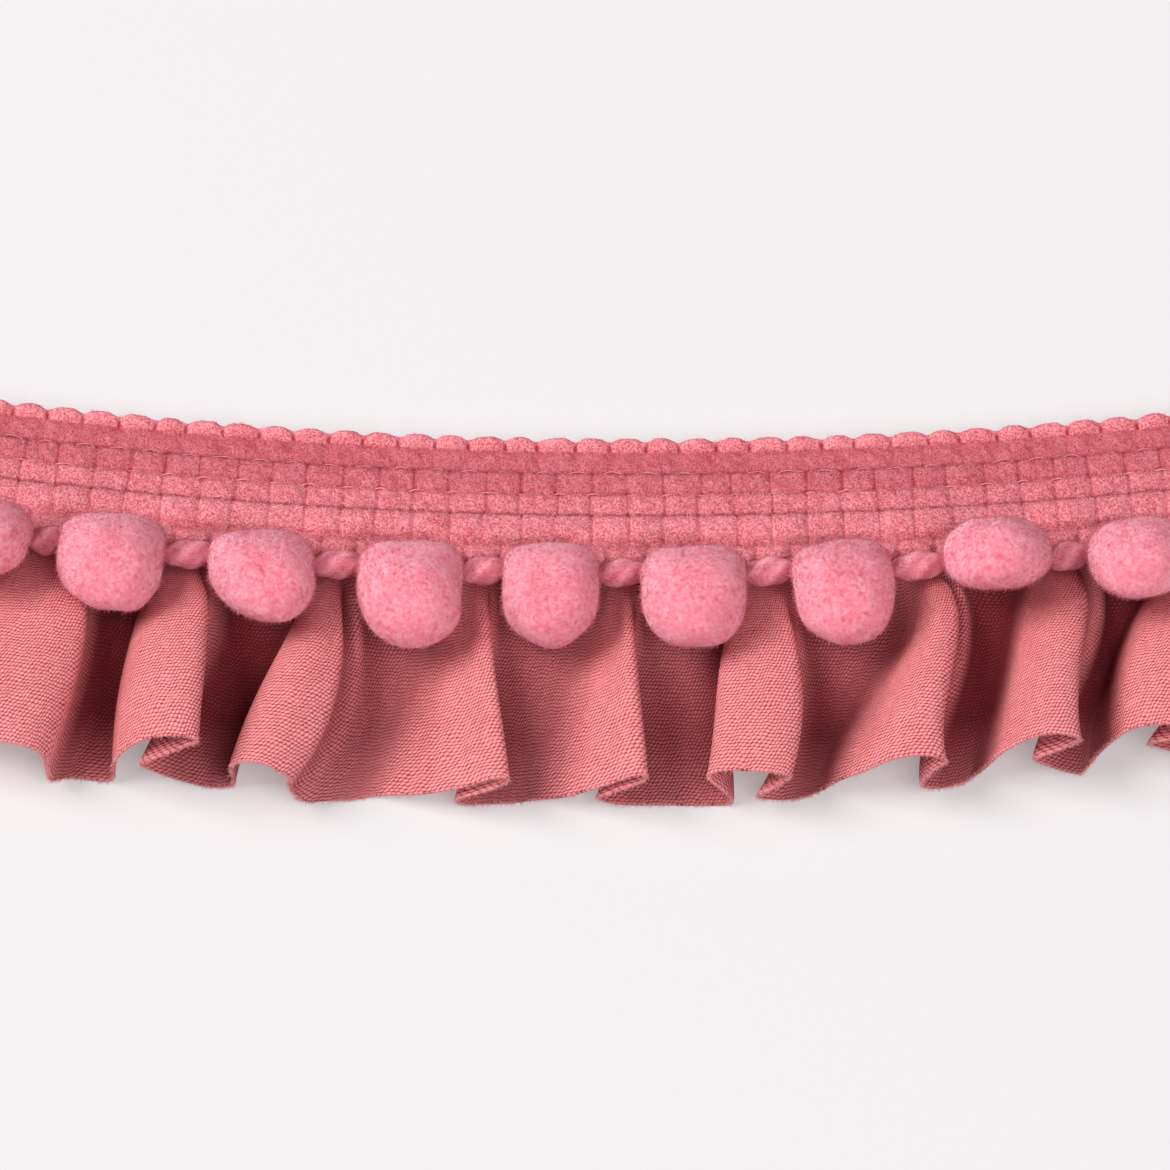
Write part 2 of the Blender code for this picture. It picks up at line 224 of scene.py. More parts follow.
def joined_meshes(name: str, meshes: list[bpy.types.Mesh]) -> bpy.types.Mesh:
    """One mesh from several.

    Args:
        name: the new mesh's name.
        meshes: the meshes to join, which are removed.

    Returns:
        The joined mesh.
    """
    bm = bmesh.new()
    for mesh in meshes:
        bm.from_mesh(mesh)
        bpy.data.meshes.remove(mesh)
    return finished_mesh(name, bm)


# ------------------------------------------------------------------ fibres


@dataclass(frozen=True)
class FibreStyle:
    """One kind of short fibre: a thin closed spike, bowed a little.

    length is its range, and lift the range of its angle off the surface, in degrees. curl
    tells how far it bows, as a share of its length. rings are the corners' rings between its
    ends, and variety tells how dark the darkest fibre is, from 0 for none to 1.
    """

    length: tuple[float, float]
    radius: float
    lift: tuple[float, float]
    curl: float
    rings: int = 0
    variety: float = 1.0


class Roots(NamedTuple):
    """Where fibres stand: places, the surface's normals and the way the pile is brushed.

    tone and growth tell how light and how long the pile is there, about 1. On the heading and the links,
    tone carries their painted shade.
    """

    places: np.ndarray
    normals: np.ndarray
    brushed: np.ndarray
    tone: np.ndarray | float = 1.0
    growth: np.ndarray | float = 1.0


class FibreField:
    """Makes joined meshes of many short fibres, each with its own shade from 0 to 1."""

    def __init__(self, style: FibreStyle, seed: int) -> None:
        """Take the kind of fibre and the seed of its chances."""
        self.style = style
        self.rng = np.random.default_rng(seed)
        self.corners, self.triangles = self.spike(style.rings)

    @staticmethod
    def spike(rings: int) -> tuple[np.ndarray, np.ndarray]:
        """A three-sided spike from z = 0 to 1 and of radius 1.

        Args:
            rings: how many rings of corners it has between its ends.

        Returns:
            Its corners, and its triangles as corner numbers.
        """
        bm = bmesh.new()
        bmesh.ops.create_cone(
            bm, cap_ends=True, segments=3, radius1=1.0, radius2=0.0, depth=1.0
        )
        bmesh.ops.translate(bm, verts=bm.verts, vec=(0, 0, 0.5))
        bmesh.ops.remove_doubles(bm, verts=bm.verts, dist=1e-4)
        for ring in range(rings):
            height = (ring + 1) / (rings + 1)
            everything = bm.verts[:] + bm.edges[:] + bm.faces[:]
            bmesh.ops.bisect_plane(bm, geom=everything, plane_co=(0, 0, height), plane_no=(0, 0, 1))
        bmesh.ops.triangulate(bm, faces=bm.faces)
        bmesh.ops.recalc_face_normals(bm, faces=bm.faces)
        bm.verts.index_update()
        corners = np.array([vertex.co for vertex in bm.verts])
        triangles = np.array([[vertex.index for vertex in face.verts] for face in bm.faces])
        bm.free()
        return corners, triangles

    def directions(self, roots: Roots, swing: float) -> np.ndarray:
        """Fibre directions: brushed along the surface, swung about its normal, and lifted.

        Args:
            roots: where the fibres stand.
            swing: how far a fibre may turn from the brushed way, in radians.

        Returns:
            One unit direction for each fibre.
        """
        count = len(roots.places)
        standing = np.sum(roots.brushed * roots.normals, axis=1, keepdims=True)
        flat = unit(roots.brushed - roots.normals * standing)
        other = np.cross(roots.normals, flat)
        turn = self.rng.uniform(-swing, swing, (count, 1))
        lean = flat * np.cos(turn) + other * np.sin(turn)
        low, high = (math.radians(angle) for angle in self.style.lift)
        lift = self.rng.uniform(low, high, (count, 1))
        return lean * np.cos(lift) + roots.normals * np.sin(lift)

    def mesh(self, name: str, roots: Roots, swing: float = math.pi) -> bpy.types.Mesh:
        """All the fibres as one mesh.

        Args:
            name: the mesh's name.
            roots: where the fibres stand.
            swing: how far a fibre may turn from the brushed way, in radians.

        Returns:
            The mesh, with the fibres' shades in its colour attribute "shade".
        """
        style = self.style
        count = len(roots.places)
        forward = self.directions(roots, swing)
        side = unit(np.cross(forward, self.rng.normal(size=(count, 3))))
        upward = np.cross(forward, side)
        length = (self.rng.uniform(*style.length, count) * roots.growth)[:, None, None]
        x, y, z = (self.corners[None, :, k, None] for k in range(3))
        bow = style.curl * length * z**2
        places = (
            roots.places[:, None]
            + forward[:, None] * z * length
            + side[:, None] * (x * style.radius + bow)
            + upward[:, None] * y * style.radius
        )
        corner_count = len(self.corners)
        triangles = self.triangles[None] + np.arange(count)[:, None, None] * corner_count
        tones = (1 - style.variety * self.rng.uniform(0, 1, count)) * roots.tone
        shades = np.repeat(tones, corner_count)
        return triangle_mesh(name, places.reshape(-1, 3), triangles.reshape(-1, 3), shades)


def triangle_mesh(
    name: str, places: np.ndarray, triangles: np.ndarray, shades: np.ndarray
) -> bpy.types.Mesh:
    """A mesh from arrays, for more fibres than a bmesh can hold in good time.

    Args:
        name: the mesh's name.
        places: one place for each corner.
        triangles: three corner numbers for each triangle.
        shades: one shade for each corner.

    Returns:
        The mesh, with the shades in its colour attribute "shade".
    """
    mesh = bpy.data.meshes.new(name)
    mesh.vertices.add(len(places))
    mesh.vertices.foreach_set("co", places.astype(np.float32).ravel())
    mesh.loops.add(triangles.size)
    mesh.loops.foreach_set("vertex_index", triangles.astype(np.int32).ravel())
    mesh.polygons.add(len(triangles))
    mesh.polygons.foreach_set("loop_start", np.arange(0, triangles.size, 3, dtype=np.int32))
    mesh.update(calc_edges=True)
    colours = mesh.color_attributes.new("shade", "FLOAT_COLOR", "POINT")
    values = np.ones((len(places), 4), dtype=np.float32)
    values[:, :3] = shades[:, None]
    colours.data.foreach_set("color", values.ravel())
    return mesh


# ------------------------------------------------------------------ shader expressions


class Value:
    """A number socket that can be used in Python expressions."""

    def __init__(self, shader: "Shader", socket: bpy.types.NodeSocket) -> None:
        """Wrap a socket of a shader's node tree."""
        self.shader = shader
        self.socket = socket

    def math(self, operation: str, *others: "Value | float", first: bool = True) -> "Value":
        """Add a Math node.

        Args:
            operation: the node's operation.
            others: the other numbers it works on.
            first: whether this value comes before the others.

        Returns:
            The node's result.
        """
        values = [self, *others] if first else [*others, self]
        made = self.shader.node("ShaderNodeMath", {"operation": operation}, dict(enumerate(values)))
        return Value(self.shader, made.outputs[0])

    def __add__(self, other: "Value | float") -> "Value":
        """This plus another."""
        return self.math("ADD", other)

    def __sub__(self, other: "Value | float") -> "Value":
        """This minus another."""
        return self.math("SUBTRACT", other)

    def __rsub__(self, other: float) -> "Value":
        """Another minus this."""
        return self.math("SUBTRACT", other, first=False)

    def __mul__(self, other: "Value | float") -> "Value":
        """This times another."""
        return self.math("MULTIPLY", other)

    __radd__ = __add__
    __rmul__ = __mul__

    def cos(self) -> "Value":
        """The cosine of this, in radians."""
        return self.math("COSINE")

    def floor(self) -> "Value":
        """The whole number below this."""
        return self.math("FLOOR")

    def greatest(self, other: "Value | float") -> "Value":
        """The greater of this and another."""
        return self.math("MAXIMUM", other)

    def power(self, exponent: float) -> "Value":
        """This raised to a power."""
        return self.math("POWER", exponent)


class Shader:
    """The node tree of one material."""

    def __init__(self, name: str, glow: float = 0.0, reach: float = 0.0) -> None:
        """Start a material with its Principled shader.

        Args:
            name: the material's name.
            glow: how much light goes through it, from 0 to 1.
            reach: how far that light goes, in metres.
        """
        self.material = bpy.data.materials.new(name)
        self.material.use_nodes = True
        self.tree = self.material.node_tree
        self.surface = self.tree.nodes["Principled BSDF"]
        self.surface.inputs["Subsurface Weight"].default_value = glow
        self.surface.inputs["Subsurface Radius"].default_value = (1.0, 0.6, 0.6)
        self.surface.inputs["Subsurface Scale"].default_value = reach

    def node(self, kind: str, settings: dict, inputs: dict) -> bpy.types.Node:
        """Add a node.

        Args:
            kind: the node's type.
            settings: its settings by name, which are set first.
            inputs: what its sockets hold or are linked to, by name or number.

        Returns:
            The node.
        """
        made = self.tree.nodes.new(kind)
        for name, setting in settings.items():
            setattr(made, name, setting)
        for name, value in inputs.items():
            self.feed(made.inputs[name], value)
        return made

    def feed(self, socket: bpy.types.NodeSocket, value: object) -> None:
        """Fill a socket.

        Args:
            socket: the socket.
            value: a value or a socket to link to it, or a plain number or colour to set there.
        """
        if isinstance(value, Value):
            value = value.socket
        if isinstance(value, bpy.types.NodeSocket):
            self.tree.links.new(value, socket)
        else:
            socket.default_value = value

    def noise(
        self,
        scale: float,
        detail: float = 3.0,
        stretch: tuple[float, float, float] = (1.0, 1.0, 1.0),
        uv: bool = False,
    ) -> Value:
        """A noise on the piece's own coordinates, from 0 to 1.

        Args:
            scale: humps a metre, or a unit of the UV map.
            detail: how many finer layers it has.
            stretch: how the coordinates are scaled before the noise.
            uv: read the UV map in place of Object coordinates.

        Returns:
            The noise as a value.
        """
        if uv:
            source = self.node("ShaderNodeUVMap", {"uv_map": "weave"}, {}).outputs[0]
        else:
            source = self.node("ShaderNodeTexCoord", {}, {}).outputs["Object"]
        place = self.node("ShaderNodeMapping", {}, {"Vector": source, "Scale": stretch})
        sockets = {"Vector": place.outputs[0], "Scale": scale, "Detail": detail}
        return Value(self, self.node("ShaderNodeTexNoise", {}, sockets).outputs[0])

    def shade(self) -> Value:
        """The piece's own shade, from 0 to 1."""
        made = self.node("ShaderNodeAttribute", {"attribute_name": "shade"}, {})
        return Value(self, made.outputs["Fac"])

    def mix(
        self, factor: Value, first: Colour | bpy.types.NodeSocket, second: Colour | bpy.types.NodeSocket
    ) -> bpy.types.NodeSocket:
        """A colour between two.

        Args:
            factor: the second colour's share, from 0 to 1.
            first: the colour at 0.
            second: the colour at 1.

        Returns:
            The colour's socket.
        """
        made = self.tree.nodes.new("ShaderNodeMix")
        made.data_type = "RGBA"
        self.feed(made.inputs[0], factor)
        self.feed(made.inputs[6], first)
        self.feed(made.inputs[7], second)
        return made.outputs[2]

    def finish(
        self,
        colour: bpy.types.NodeSocket,
        roughness: float,
        bump: Value | None,
        depth: float,
        shine: float = 0.0,
    ) -> bpy.types.Material:
        """Feed the Principled shader.

        Args:
            colour: the base colour.
            roughness: the same all over.
            bump: the height of the relief, or None for a plain surface.
            depth: how deep a relief of 1 is, in metres.
            shine: how much light is mirrored, with 0.5 for a usual one.

        Returns:
            The finished material.
        """
        self.feed(self.surface.inputs["Base Color"], colour)
        self.surface.inputs["Roughness"].default_value = roughness
        self.surface.inputs["Specular IOR Level"].default_value = shine
        if bump is not None:
            sockets = {"Height": bump, "Distance": depth, "Strength": 1.0}
            relief = self.node("ShaderNodeBump", {}, sockets)
            self.feed(self.surface.inputs["Normal"], relief.outputs[0])
        return self.material


def shaded(colour: Colour, factor: float) -> Colour:
    """A colour made darker or lighter by a factor."""
    return (colour[0] * factor, colour[1] * factor, colour[2] * factor, 1.0)


@dataclass(frozen=True)
class SoftBody:
    """The ground under loose fibres: mottled, with a fine crumb, and deep where its shade is low.

    crumb and mottle are the scales of the two noises, in humps a metre. grain and mottling tell
    how much each of them changes the colour about its middle, which is middle of the way from
    dark to light. deep is the colour where the shade attribute is low: painted shade in the
    heading's grooves, seams and knots and along the links' twists and ends, and the pompoms'
    own felt pits.
    """

    name: str
    light: Colour
    dark: Colour
    deep: Colour
    crumb: float
    depth: float
    mottle: float = 260.0
    roughness: float = 0.95
    glow: float = 0.0
    reach: float = 2.5 * MM
    grain: float = 2.6
    mottling: float = 0.5
    middle: float = 0.55

    def make(self) -> bpy.types.Material:
        """Build the material.

        Returns:
            The material.
        """
        shader = Shader(self.name, self.glow, self.reach)
        crumb = shader.noise(self.crumb, 4.0)
        mottle = shader.noise(self.mottle, 2.0)
        speckle = (crumb - 0.5) * self.grain + (mottle - 0.5) * self.mottling + self.middle
        surface = shader.mix(speckle, self.dark, self.light)
        # On the heading and links a low shade attribute pulls the colour toward deep as painted shade; on
        # the pompoms it marks their felt pits.
        colour = shader.mix(shader.shade(), self.deep, surface)
        return shader.finish(colour, self.roughness, crumb, self.depth)


@dataclass(frozen=True)
class LooseFibre:
    """Loose fibres, each with its own shade."""

    name: str
    light: Colour
    dark: Colour
    glow: float = 0.0
    reach: float = 0.6 * MM
    roughness: float = 0.95

    def make(self) -> bpy.types.Material:
        """Build the material.

        Returns:
            The material.
        """
        shader = Shader(self.name, self.glow, self.reach)
        colour = shader.mix(shader.shade(), self.dark, self.light)
        return shader.finish(colour, self.roughness, None, 0.0)


@dataclass(frozen=True)
class PlainWeave:
    """Cotton in a plain weave, on a UV map that counts yarns: staggered floats and small pits.

    The yarns stray by wander, and the ends of a yarn's floats lean across its row by slant,
    both in yarns. fullness rounds the floats, and slub makes the yarns uneven. Pits of painted
    shade open in the spaces between the yarns, where the height is under pit_level, and are
    deepest at the floats' corners. They show where the weave is clear, which starts at
    clear_start. patchy, fuzzy and raised tell how much the slow tone, the fuzz and the height
    lighten the yarn, from its middle; the height's part is painted shade in the dips between
    the floats. Where the cloth's shade attribute is low, the colour goes to the painted shade
    between the folds, and shade_relief keeps the floats' tops a little lighter there.
    """

    name: str
    light: Colour
    dark: Colour
    gap_shade: Colour
    painted_shade: Colour
    depth: float = 0.11 * MM
    roughness: float = 0.85
    shine: float = 0.08
    wander: float = 2.6
    slant: float = 0.8
    fullness: float = 0.6
    slub: float = 0.35
    pit_level: float = 0.6
    pit_sides: float = 0.9
    pit_corners: float = 3.2
    clear_start: float = 0.2
    clear_gain: float = 3.0
    patchy: float = 0.6
    fuzzy: float = 0.6
    raised: float = 0.5
    middle: float = -0.32
    shade_relief: float = 0.16
    fuzz_relief: float = 0.3

    def make(self) -> bpy.types.Material:
        """Build the material.

        Returns:
            The material.
        """
        shader = Shader(self.name)
        uv = shader.node("ShaderNodeUVMap", {"uv_map": "weave"}, {}).outputs[0]
        split = shader.node("ShaderNodeSeparateXYZ", {}, {0: uv})
        stray_across = (shader.noise(0.16, 5.0, uv=True) - 0.5) * self.wander
        stray_along = (shader.noise(0.13, 5.0, uv=True) - 0.5) * self.wander
        across = Value(shader, split.outputs[0]) + stray_across
        along = Value(shader, split.outputs[1]) + stray_along
        row = (along + 0.5).floor()
        turned = (across + row + (along - row) * self.slant) * (math.pi / 2)
        float_ends = turned.cos().math("ABSOLUTE").power(self.fullness)
        float_sides = (along * math.pi).cos().math("ABSOLUTE").power(self.fullness)
        warp_slub = shader.noise(1.0, 2.0, (1.0, 0.10, 1.0), uv=True)
        weft_slub = shader.noise(1.0, 2.0, (0.10, 1.0, 1.0), uv=True)
        height = float_ends * float_sides + (warp_slub + weft_slub - 1.0) * self.slub
        corners = (1.0 - float_ends) * (1.0 - float_sides)
        # Painted shade in the spaces between the yarns, deepest at the floats' corners.
        outline = (self.pit_level - height).greatest(0.0) * self.pit_sides + corners * self.pit_corners
        clearness = (shader.noise(0.35, 4.0, uv=True) - self.clear_start) * self.clear_gain
        pits = outline * clearness.greatest(0.0)
        fuzz = shader.noise(1.6, 3.0, uv=True)
        tone = shader.noise(0.05, 3.0, uv=True)
        # The height's part is painted shade in the dips between the floats; tone and fuzz vary at random.
        lightness = tone * self.patchy + fuzz * self.fuzzy + height * self.raised + self.middle
        yarn = shader.mix(lightness, self.dark, self.light)
        # Painted shade between the folds, from the cloth's shade attribute.
        level = shader.shade() + (height - 0.5) * self.shade_relief
        colour = shader.mix(level, self.painted_shade, shader.mix(pits, yarn, self.gap_shade))
        relief = height + fuzz * self.fuzz_relief
        return shader.finish(colour, self.roughness, relief, self.depth, self.shine)


@dataclass(frozen=True)
class Thread:
    """Sewing and stitch thread, twisted fine."""

    name: str
    light: Colour
    dark: Colour
    roughness: float = 0.6
    shine: float = 0.2
    twist: float = 6000.0
    lay: tuple[float, float, float] = (1.0, 0.35, 1.0)
    depth: float = 0.06 * MM

    def make(self) -> bpy.types.Material:
        """Build the material.

        Returns:
            The material.
        """
        shader = Shader(self.name)
        strands = shader.noise(self.twist, 3.0, self.lay)
        colour = shader.mix(strands, self.dark, self.light)
        return shader.finish(colour, self.roughness, strands, self.depth, self.shine)


class Finish(Enum):
    """The trim's finishes."""

    # The third colour is the painted shade of the heading's grooves, seams and knots.
    HEADING = SoftBody(
        "heading_yarn_body",
        (1.0, 0.39, 0.44, 1),
        (0.66, 0.105, 0.135, 1),
        (0.38, 0.04, 0.06, 1),
        crumb=4600.0,
        depth=0.22 * MM,
        grain=3.6,
    )
    HEADING_FIBRE = LooseFibre("heading_yarn_fibre", (1.0, 0.56, 0.61, 1), (0.62, 0.10, 0.135, 1))
    POMPOM = SoftBody(
        "pompom_pile_body",
        (1.0, 0.44, 0.53, 1),
        (0.94, 0.27, 0.34, 1),
        (0.55, 0.08, 0.12, 1),
        crumb=2200.0,
        depth=0.25 * MM,
        glow=1.0,
        reach=3.5 * MM,
        grain=2.8,
    )
    POMPOM_FIBRE = LooseFibre("pompom_pile_fibre", (0.88, 0.30, 0.36, 1), (0.72, 0.10, 0.15, 1))
    # The third colour is the painted shade of the links' twists and ends.
    LINK = SoftBody(
        "link_yarn_body",
        (1.0, 0.42, 0.49, 1),
        (0.92, 0.30, 0.37, 1),
        (0.48, 0.08, 0.12, 1),
        crumb=3200.0,
        depth=0.15 * MM,
        glow=0.6,
    )
    # The third colour is painted shade in the spaces between the yarns, the fourth painted shade between
    # the folds.
    COTTON = PlainWeave(
        "ruffle_cotton_weave",
        (1.0, 0.36, 0.385, 1),
        (0.78, 0.21, 0.225, 1),
        (0.38, 0.055, 0.065, 1),
        (0.165, 0.015, 0.019, 1),
    )
    COTTON_FIBRE = LooseFibre("ruffle_cotton_fibre", (1.0, 0.46, 0.48, 1), (0.75, 0.20, 0.21, 1), glow=0.1)
    STITCH = Thread("stitch_thread", (0.95, 0.38, 0.42, 1), (0.70, 0.18, 0.22, 1))
    DARK_STITCH = Thread("deep_stitch_thread", (0.55, 0.10, 0.14, 1), (0.32, 0.035, 0.055, 1))

    def material(self) -> bpy.types.Material:
        """The finish's material, made once."""
        found = bpy.data.materials.get(self.value.name)
        return found or self.value.make()


class Slot(Enum):
    """Names of the material slots."""

    HEADING = "heading_yarn"
    RUFFLE = "ruffle_cotton"
    POMPOM = "pompom_pile"
    LINK = "link_yarn"


def add_piece(
    name: str, mesh: bpy.types.Mesh, finish: Finish, replaces: tuple[str, ...] = ()
) -> bpy.types.Object:
    """Add a piece to the part.

    Args:
        name: the piece's name.
        mesh: its mesh, in place.
        finish: its finish.
        replaces: the solids it stands for.

    Returns:
        The piece's object.
    """
    mesh.materials.append(finish.material())
    piece = bpy.data.objects.new(name, mesh)
    bpy.context.scene.collection.objects.link(piece)
    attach(piece, "root")
    if replaces:
        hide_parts(*replaces)
    LOG.info("%s: %d corners, %d faces", name, len(mesh.vertices), len(mesh.polygons))
    return piece


# ------------------------------------------------------------------ heading


class Row(NamedTuple):
    """One lengthwise row of the heading, from the scalloped edge down.

    Its cells rise from groove to crown, and dip between each other. fullness makes them boxy
    across the trim, and narrowness makes the dip narrow. seam_shade and groove_shade tell how
    much painted shade darkens the yarn between the cells and in the groove under the row, and
    lightness how light the cells are; it is lower on the recess and the upper rib as painted
    shade.
    """

    name: str
    width: Measure
    crown: Measure
    groove: Measure
    shift: Measure
    fullness: Measure
    dip: Measure
    narrowness: Measure
    seam_shade: Measure
    groove_shade: Measure
    lightness: Measure


class Stitch(NamedTuple):
    """A stitch thread in the groove above a row.

    It comes up once in every cell, at a share of the cell, by about its rise. buried lowers it
    by a share of that, and sway takes it across the groove.
    """

    row: int
    at: float
    rise: float
    buried: float
    sway: float
    radius: float


@dataclass
class Heading:
    """The knitted heading: rows of soft cells, their stitches and their fuzz.

    The larger edge_seam, cell_seam and knot are, the narrower is the painted shade at the seams
    between the edge loops, at the seams between the other cells and at the knots where seams
    meet grooves.
    """

    lay: Lay
    top: float = 7.4 * MM
    edge_height: float = 1.0 * MM
    edge_roundness: float = 0.6
    scallop: float = 0.5 * MM
    scallop_fade: float = 1.5
    hem_scallop: float = 0.5 * MM
    cell_wander: float = 0.05
    cell_chance: float = 0.05 * MM
    cell_pillow: float = 0.12 * MM
    pillow_narrowness: float = 5.0
    groove_dip: float = 0.4
    small_bumps: float = 0.06 * MM
    broad_bumps: float = 0.05 * MM
    steps_per_cell: int = 20
    steps_per_row: int = 11
    back: tuple[tuple[float, float], ...] = ((-10.0, 2.6), (-4.6, 2.6), (-3.4, 0.0), (6.9, 0.0))
    # The last three numbers of a row are its seam shade, groove shade and lightness; the recess and upper
    # rib are kept darker as painted shade.
    rows: tuple[Row, ...] = (
        Row("edge loops", 2.3 * MM, 2.85 * MM, 2.15 * MM, 0.5, 2.0, 0.45 * MM, 4, 0.6, 0.12, 1.0),
        Row("recess", 2.9 * MM, 2.2 * MM, 2.05 * MM, 0.5, 2.6, 0.05 * MM, 40, 0.0, 0.4, 0.47),
        Row("upper rib", 3.0 * MM, 2.75 * MM, 2.35 * MM, 0.0, 6.0, 0.08 * MM, 160, 0.45, 0.4, 0.57),
        Row("lower rib", 3.0 * MM, 3.1 * MM, 2.7 * MM, 0.0, 6.0, 0.10 * MM, 160, 0.5, 0.7, 0.84),
        Row("deep rib", 3.9 * MM, 4.2 * MM, 3.3 * MM, 0.0, 4.0, 0.16 * MM, 140, 0.45, 0.3, 1.0),
        Row("hem loops", 2.6 * MM, 3.8 * MM, 3.1 * MM, 0.5, 2.2, 0.3 * MM, 20, 0.25, 0.2, 0.9),
    )
    pale_stitches: tuple[Stitch, ...] = (
        Stitch(2, 0.6, 0.16 * MM, 0.2, 0.16 * MM, 0.06 * MM),
        Stitch(3, 0.12, 0.34 * MM, 0.6, 0.05 * MM, 0.09 * MM),
    )
    dark_stitch: Stitch = Stitch(4, 0.5, 0.06 * MM, 0.5, 0.05 * MM, 0.15 * MM)
    fuzz: FibreStyle = FibreStyle((0.2 * MM, 0.5 * MM), 0.036 * MM, (2, 35), 0.6, 0, 1.0)
    curls: FibreStyle = FibreStyle((0.3 * MM, 0.6 * MM), 0.058 * MM, (0, 30), 1.6, 1, 0.9)
    fuzz_count: int = 26000
    curl_count: int = 12000
    fuzz_depth: float = 0.03 * MM
    # Painted shade at the seams, the bead notches, the knots and the grooves, from here to
    # corner_above_reach.
    edge_seam: float = 90.0
    cell_seam: float = 190.0
    knot: float = 60.0
    knot_shade: float = 0.9
    edge_stitch_shade: float = 2.6
    edge_stitch_at: float = 0.82
    edge_stitch_reach: float = 0.26
    groove_share: float = 0.6
    groove_below: float = 0.82
    groove_below_ramp: float = 0.14
    groove_above: float = 0.12
    groove_above_ramp: float = 0.10
    corner_below_reach: float = 0.16
    corner_above_reach: float = 0.14
    blotches: float = 0.07
    steps_per_stitch: int = 12
    stitch_chance: float = 0.35
    stitch_wander: float = 0.08 * MM
    stitch_thickening: float = 0.15

    def rows_at(self, row_number: np.ndarray) -> Row:
        """The numbers of the rows that places are in, as one row of arrays."""
        numbers = np.array([row[1:] for row in self.rows])[row_number]
        return Row("at the places", *numbers.T)

    def phase(self, x: np.ndarray, row_number: np.ndarray, shift: np.ndarray) -> np.ndarray:
        """How many cells a place is along its row, whole at the stitches between two cells."""
        wander = smooth_noise(x, x * 0 + row_number * 7 * MM, 6 * MM, 3) * self.cell_wander
        return x / self.lay.cell + shift + wander

    @staticmethod
    def pinch(phase: np.ndarray, narrowness: np.ndarray) -> np.ndarray:
        """1 between two cells, where the stitches pull in, and 0 on a cell."""
        return np.abs(np.cos(math.pi * phase)) ** narrowness

    def surface(self, x: np.ndarray, row_number: np.ndarray, share: np.ndarray) -> np.ndarray:
        """Places on the heading's face.

        Args:
            x: distances along the straight trim.
            row_number: which row each place is in.
            share: how far down its row each place is, from 0 to 1.

        Returns:
            The places in the straight layout.
        """
        row = self.rows_at(row_number)
        tops = self.top - np.concatenate([[0], np.cumsum([each.width for each in self.rows])])
        phase = self.phase(x, row_number, row.shift)
        pulled = self.pinch(phase, row.narrowness)
        pillow = 1 - self.pinch(phase, self.pillow_narrowness)
        number = np.floor(phase + 0.5) + row_number * 57
        height = row.crown + self.cell_chance * chance(number) + self.cell_pillow * pillow
        height = height - row.dip * pulled
        swell = 1 - np.abs(2 * share - 1) ** row.fullness
        z = row.groove + (height - row.groove) * swell
        z = z - row.dip * self.groove_dip * pulled * (1 - swell)
        y = tops[row_number] - row.width * share
        scallop = self.scallop * pulled * (1 - share) ** self.scallop_fade
        edge = np.where(row_number == 0, scallop, 0.0)
        first = (row_number == 0) & (share < 0.5)
        rounded = (z - self.edge_height) * np.sin(share * math.pi) ** self.edge_roundness
        z = np.where(first, self.edge_height + rounded, z)
        hem = np.where(row_number == len(self.rows) - 1, self.hem_scallop * pulled * share, 0.0)
        y = y - edge + hem
        z = z + smooth_noise(x, y, 1.3 * MM, 11) * self.small_bumps
        z = z + smooth_noise(x, y, 5 * MM, 12) * self.broad_bumps
        return np.stack([x, y, z], axis=-1)

    def tone(self, x: np.ndarray, row_number: np.ndarray, share: np.ndarray) -> np.ndarray:
        """How light the yarn is: painted shade at the stitches between the cells, in the grooves and at
        the knots, with random blotches.

        Args:
            x: distances along the straight trim.
            row_number: which row each place is in.
            share: how far down its row each place is, from 0 to 1.

        Returns:
            One shade for each place, from 0 to 1.
        """
        row = self.rows_at(row_number)
        on_edge = row_number == 0
        phase = self.phase(x, row_number, row.shift)
        seam = self.pinch(phase, np.where(on_edge, self.edge_seam, self.cell_seam))
        knot = self.pinch(phase, self.knot)
        edge_stitch = self.edge_stitch_shade * bell(share - self.edge_stitch_at, self.edge_stitch_reach)
        stitch = np.where(on_edge, edge_stitch, 1.0)
        tone_above = np.array([0.0, *[each.groove_shade for each in self.rows[:-1]]])[row_number]
        low = np.clip((share - self.groove_below) / self.groove_below_ramp, 0, 1)
        high = np.clip((self.groove_above - share) / self.groove_above_ramp, 0, 1)
        groove = np.maximum(low * row.groove_shade, high * tone_above)
        corner = row.groove_shade * bell(1 - share, self.corner_below_reach)
        corner = corner + tone_above * bell(share, self.corner_above_reach)
        # Painted shade at the seams, the bead notches, the grooves and the knots; the blotches are random.
        dark = row.seam_shade * seam * stitch + self.groove_share * groove + self.knot_shade * knot * corner
        blotches = self.blotches * smooth_noise(x, row_number * 5 * MM + share * 3 * MM, 2.4 * MM, 14)
        return np.clip(row.lightness + blotches - dark, 0, 1)

    def face_grid(self) -> tuple[np.ndarray, np.ndarray]:
        """The heading's closed outline at each step along the trim.

        Returns:
            Its places by row and column, and their shades.
        """
        columns = self.lay.cells * self.steps_per_cell + 1
        x = np.linspace(-self.lay.length / 2, self.lay.length / 2, columns)
        parts = [step / self.steps_per_row for step in range(self.steps_per_row)]
        shares = [(row, part) for row in range(len(self.rows)) for part in parts]
        shares.append((len(self.rows) - 1, 1.0))
        lines = []
        tones = []
        for number, share in shares:
            row, part = np.full(columns, number), np.full(columns, share)
            lines.append(self.surface(x, row, part))
            tones.append(self.tone(x, row, part))
        for y, z in self.back:
            lines.append(np.stack([x, np.full(columns, y * MM), np.full(columns, z * MM)], axis=-1))
            tones.append(np.ones(columns))
        lines.append(lines[0])
        tones.append(tones[0])
        return self.lay.bend(np.array(lines)), np.array(tones)

    def make_body(self) -> None:
        """The soft cells as one closed body."""
        bm = laid_grid(*self.face_grid())
        close_ends(bm)
        mesh = finished_mesh("heading_cells", bm)
        add_piece("heading_cells", mesh, Finish.HEADING, ("heading",))

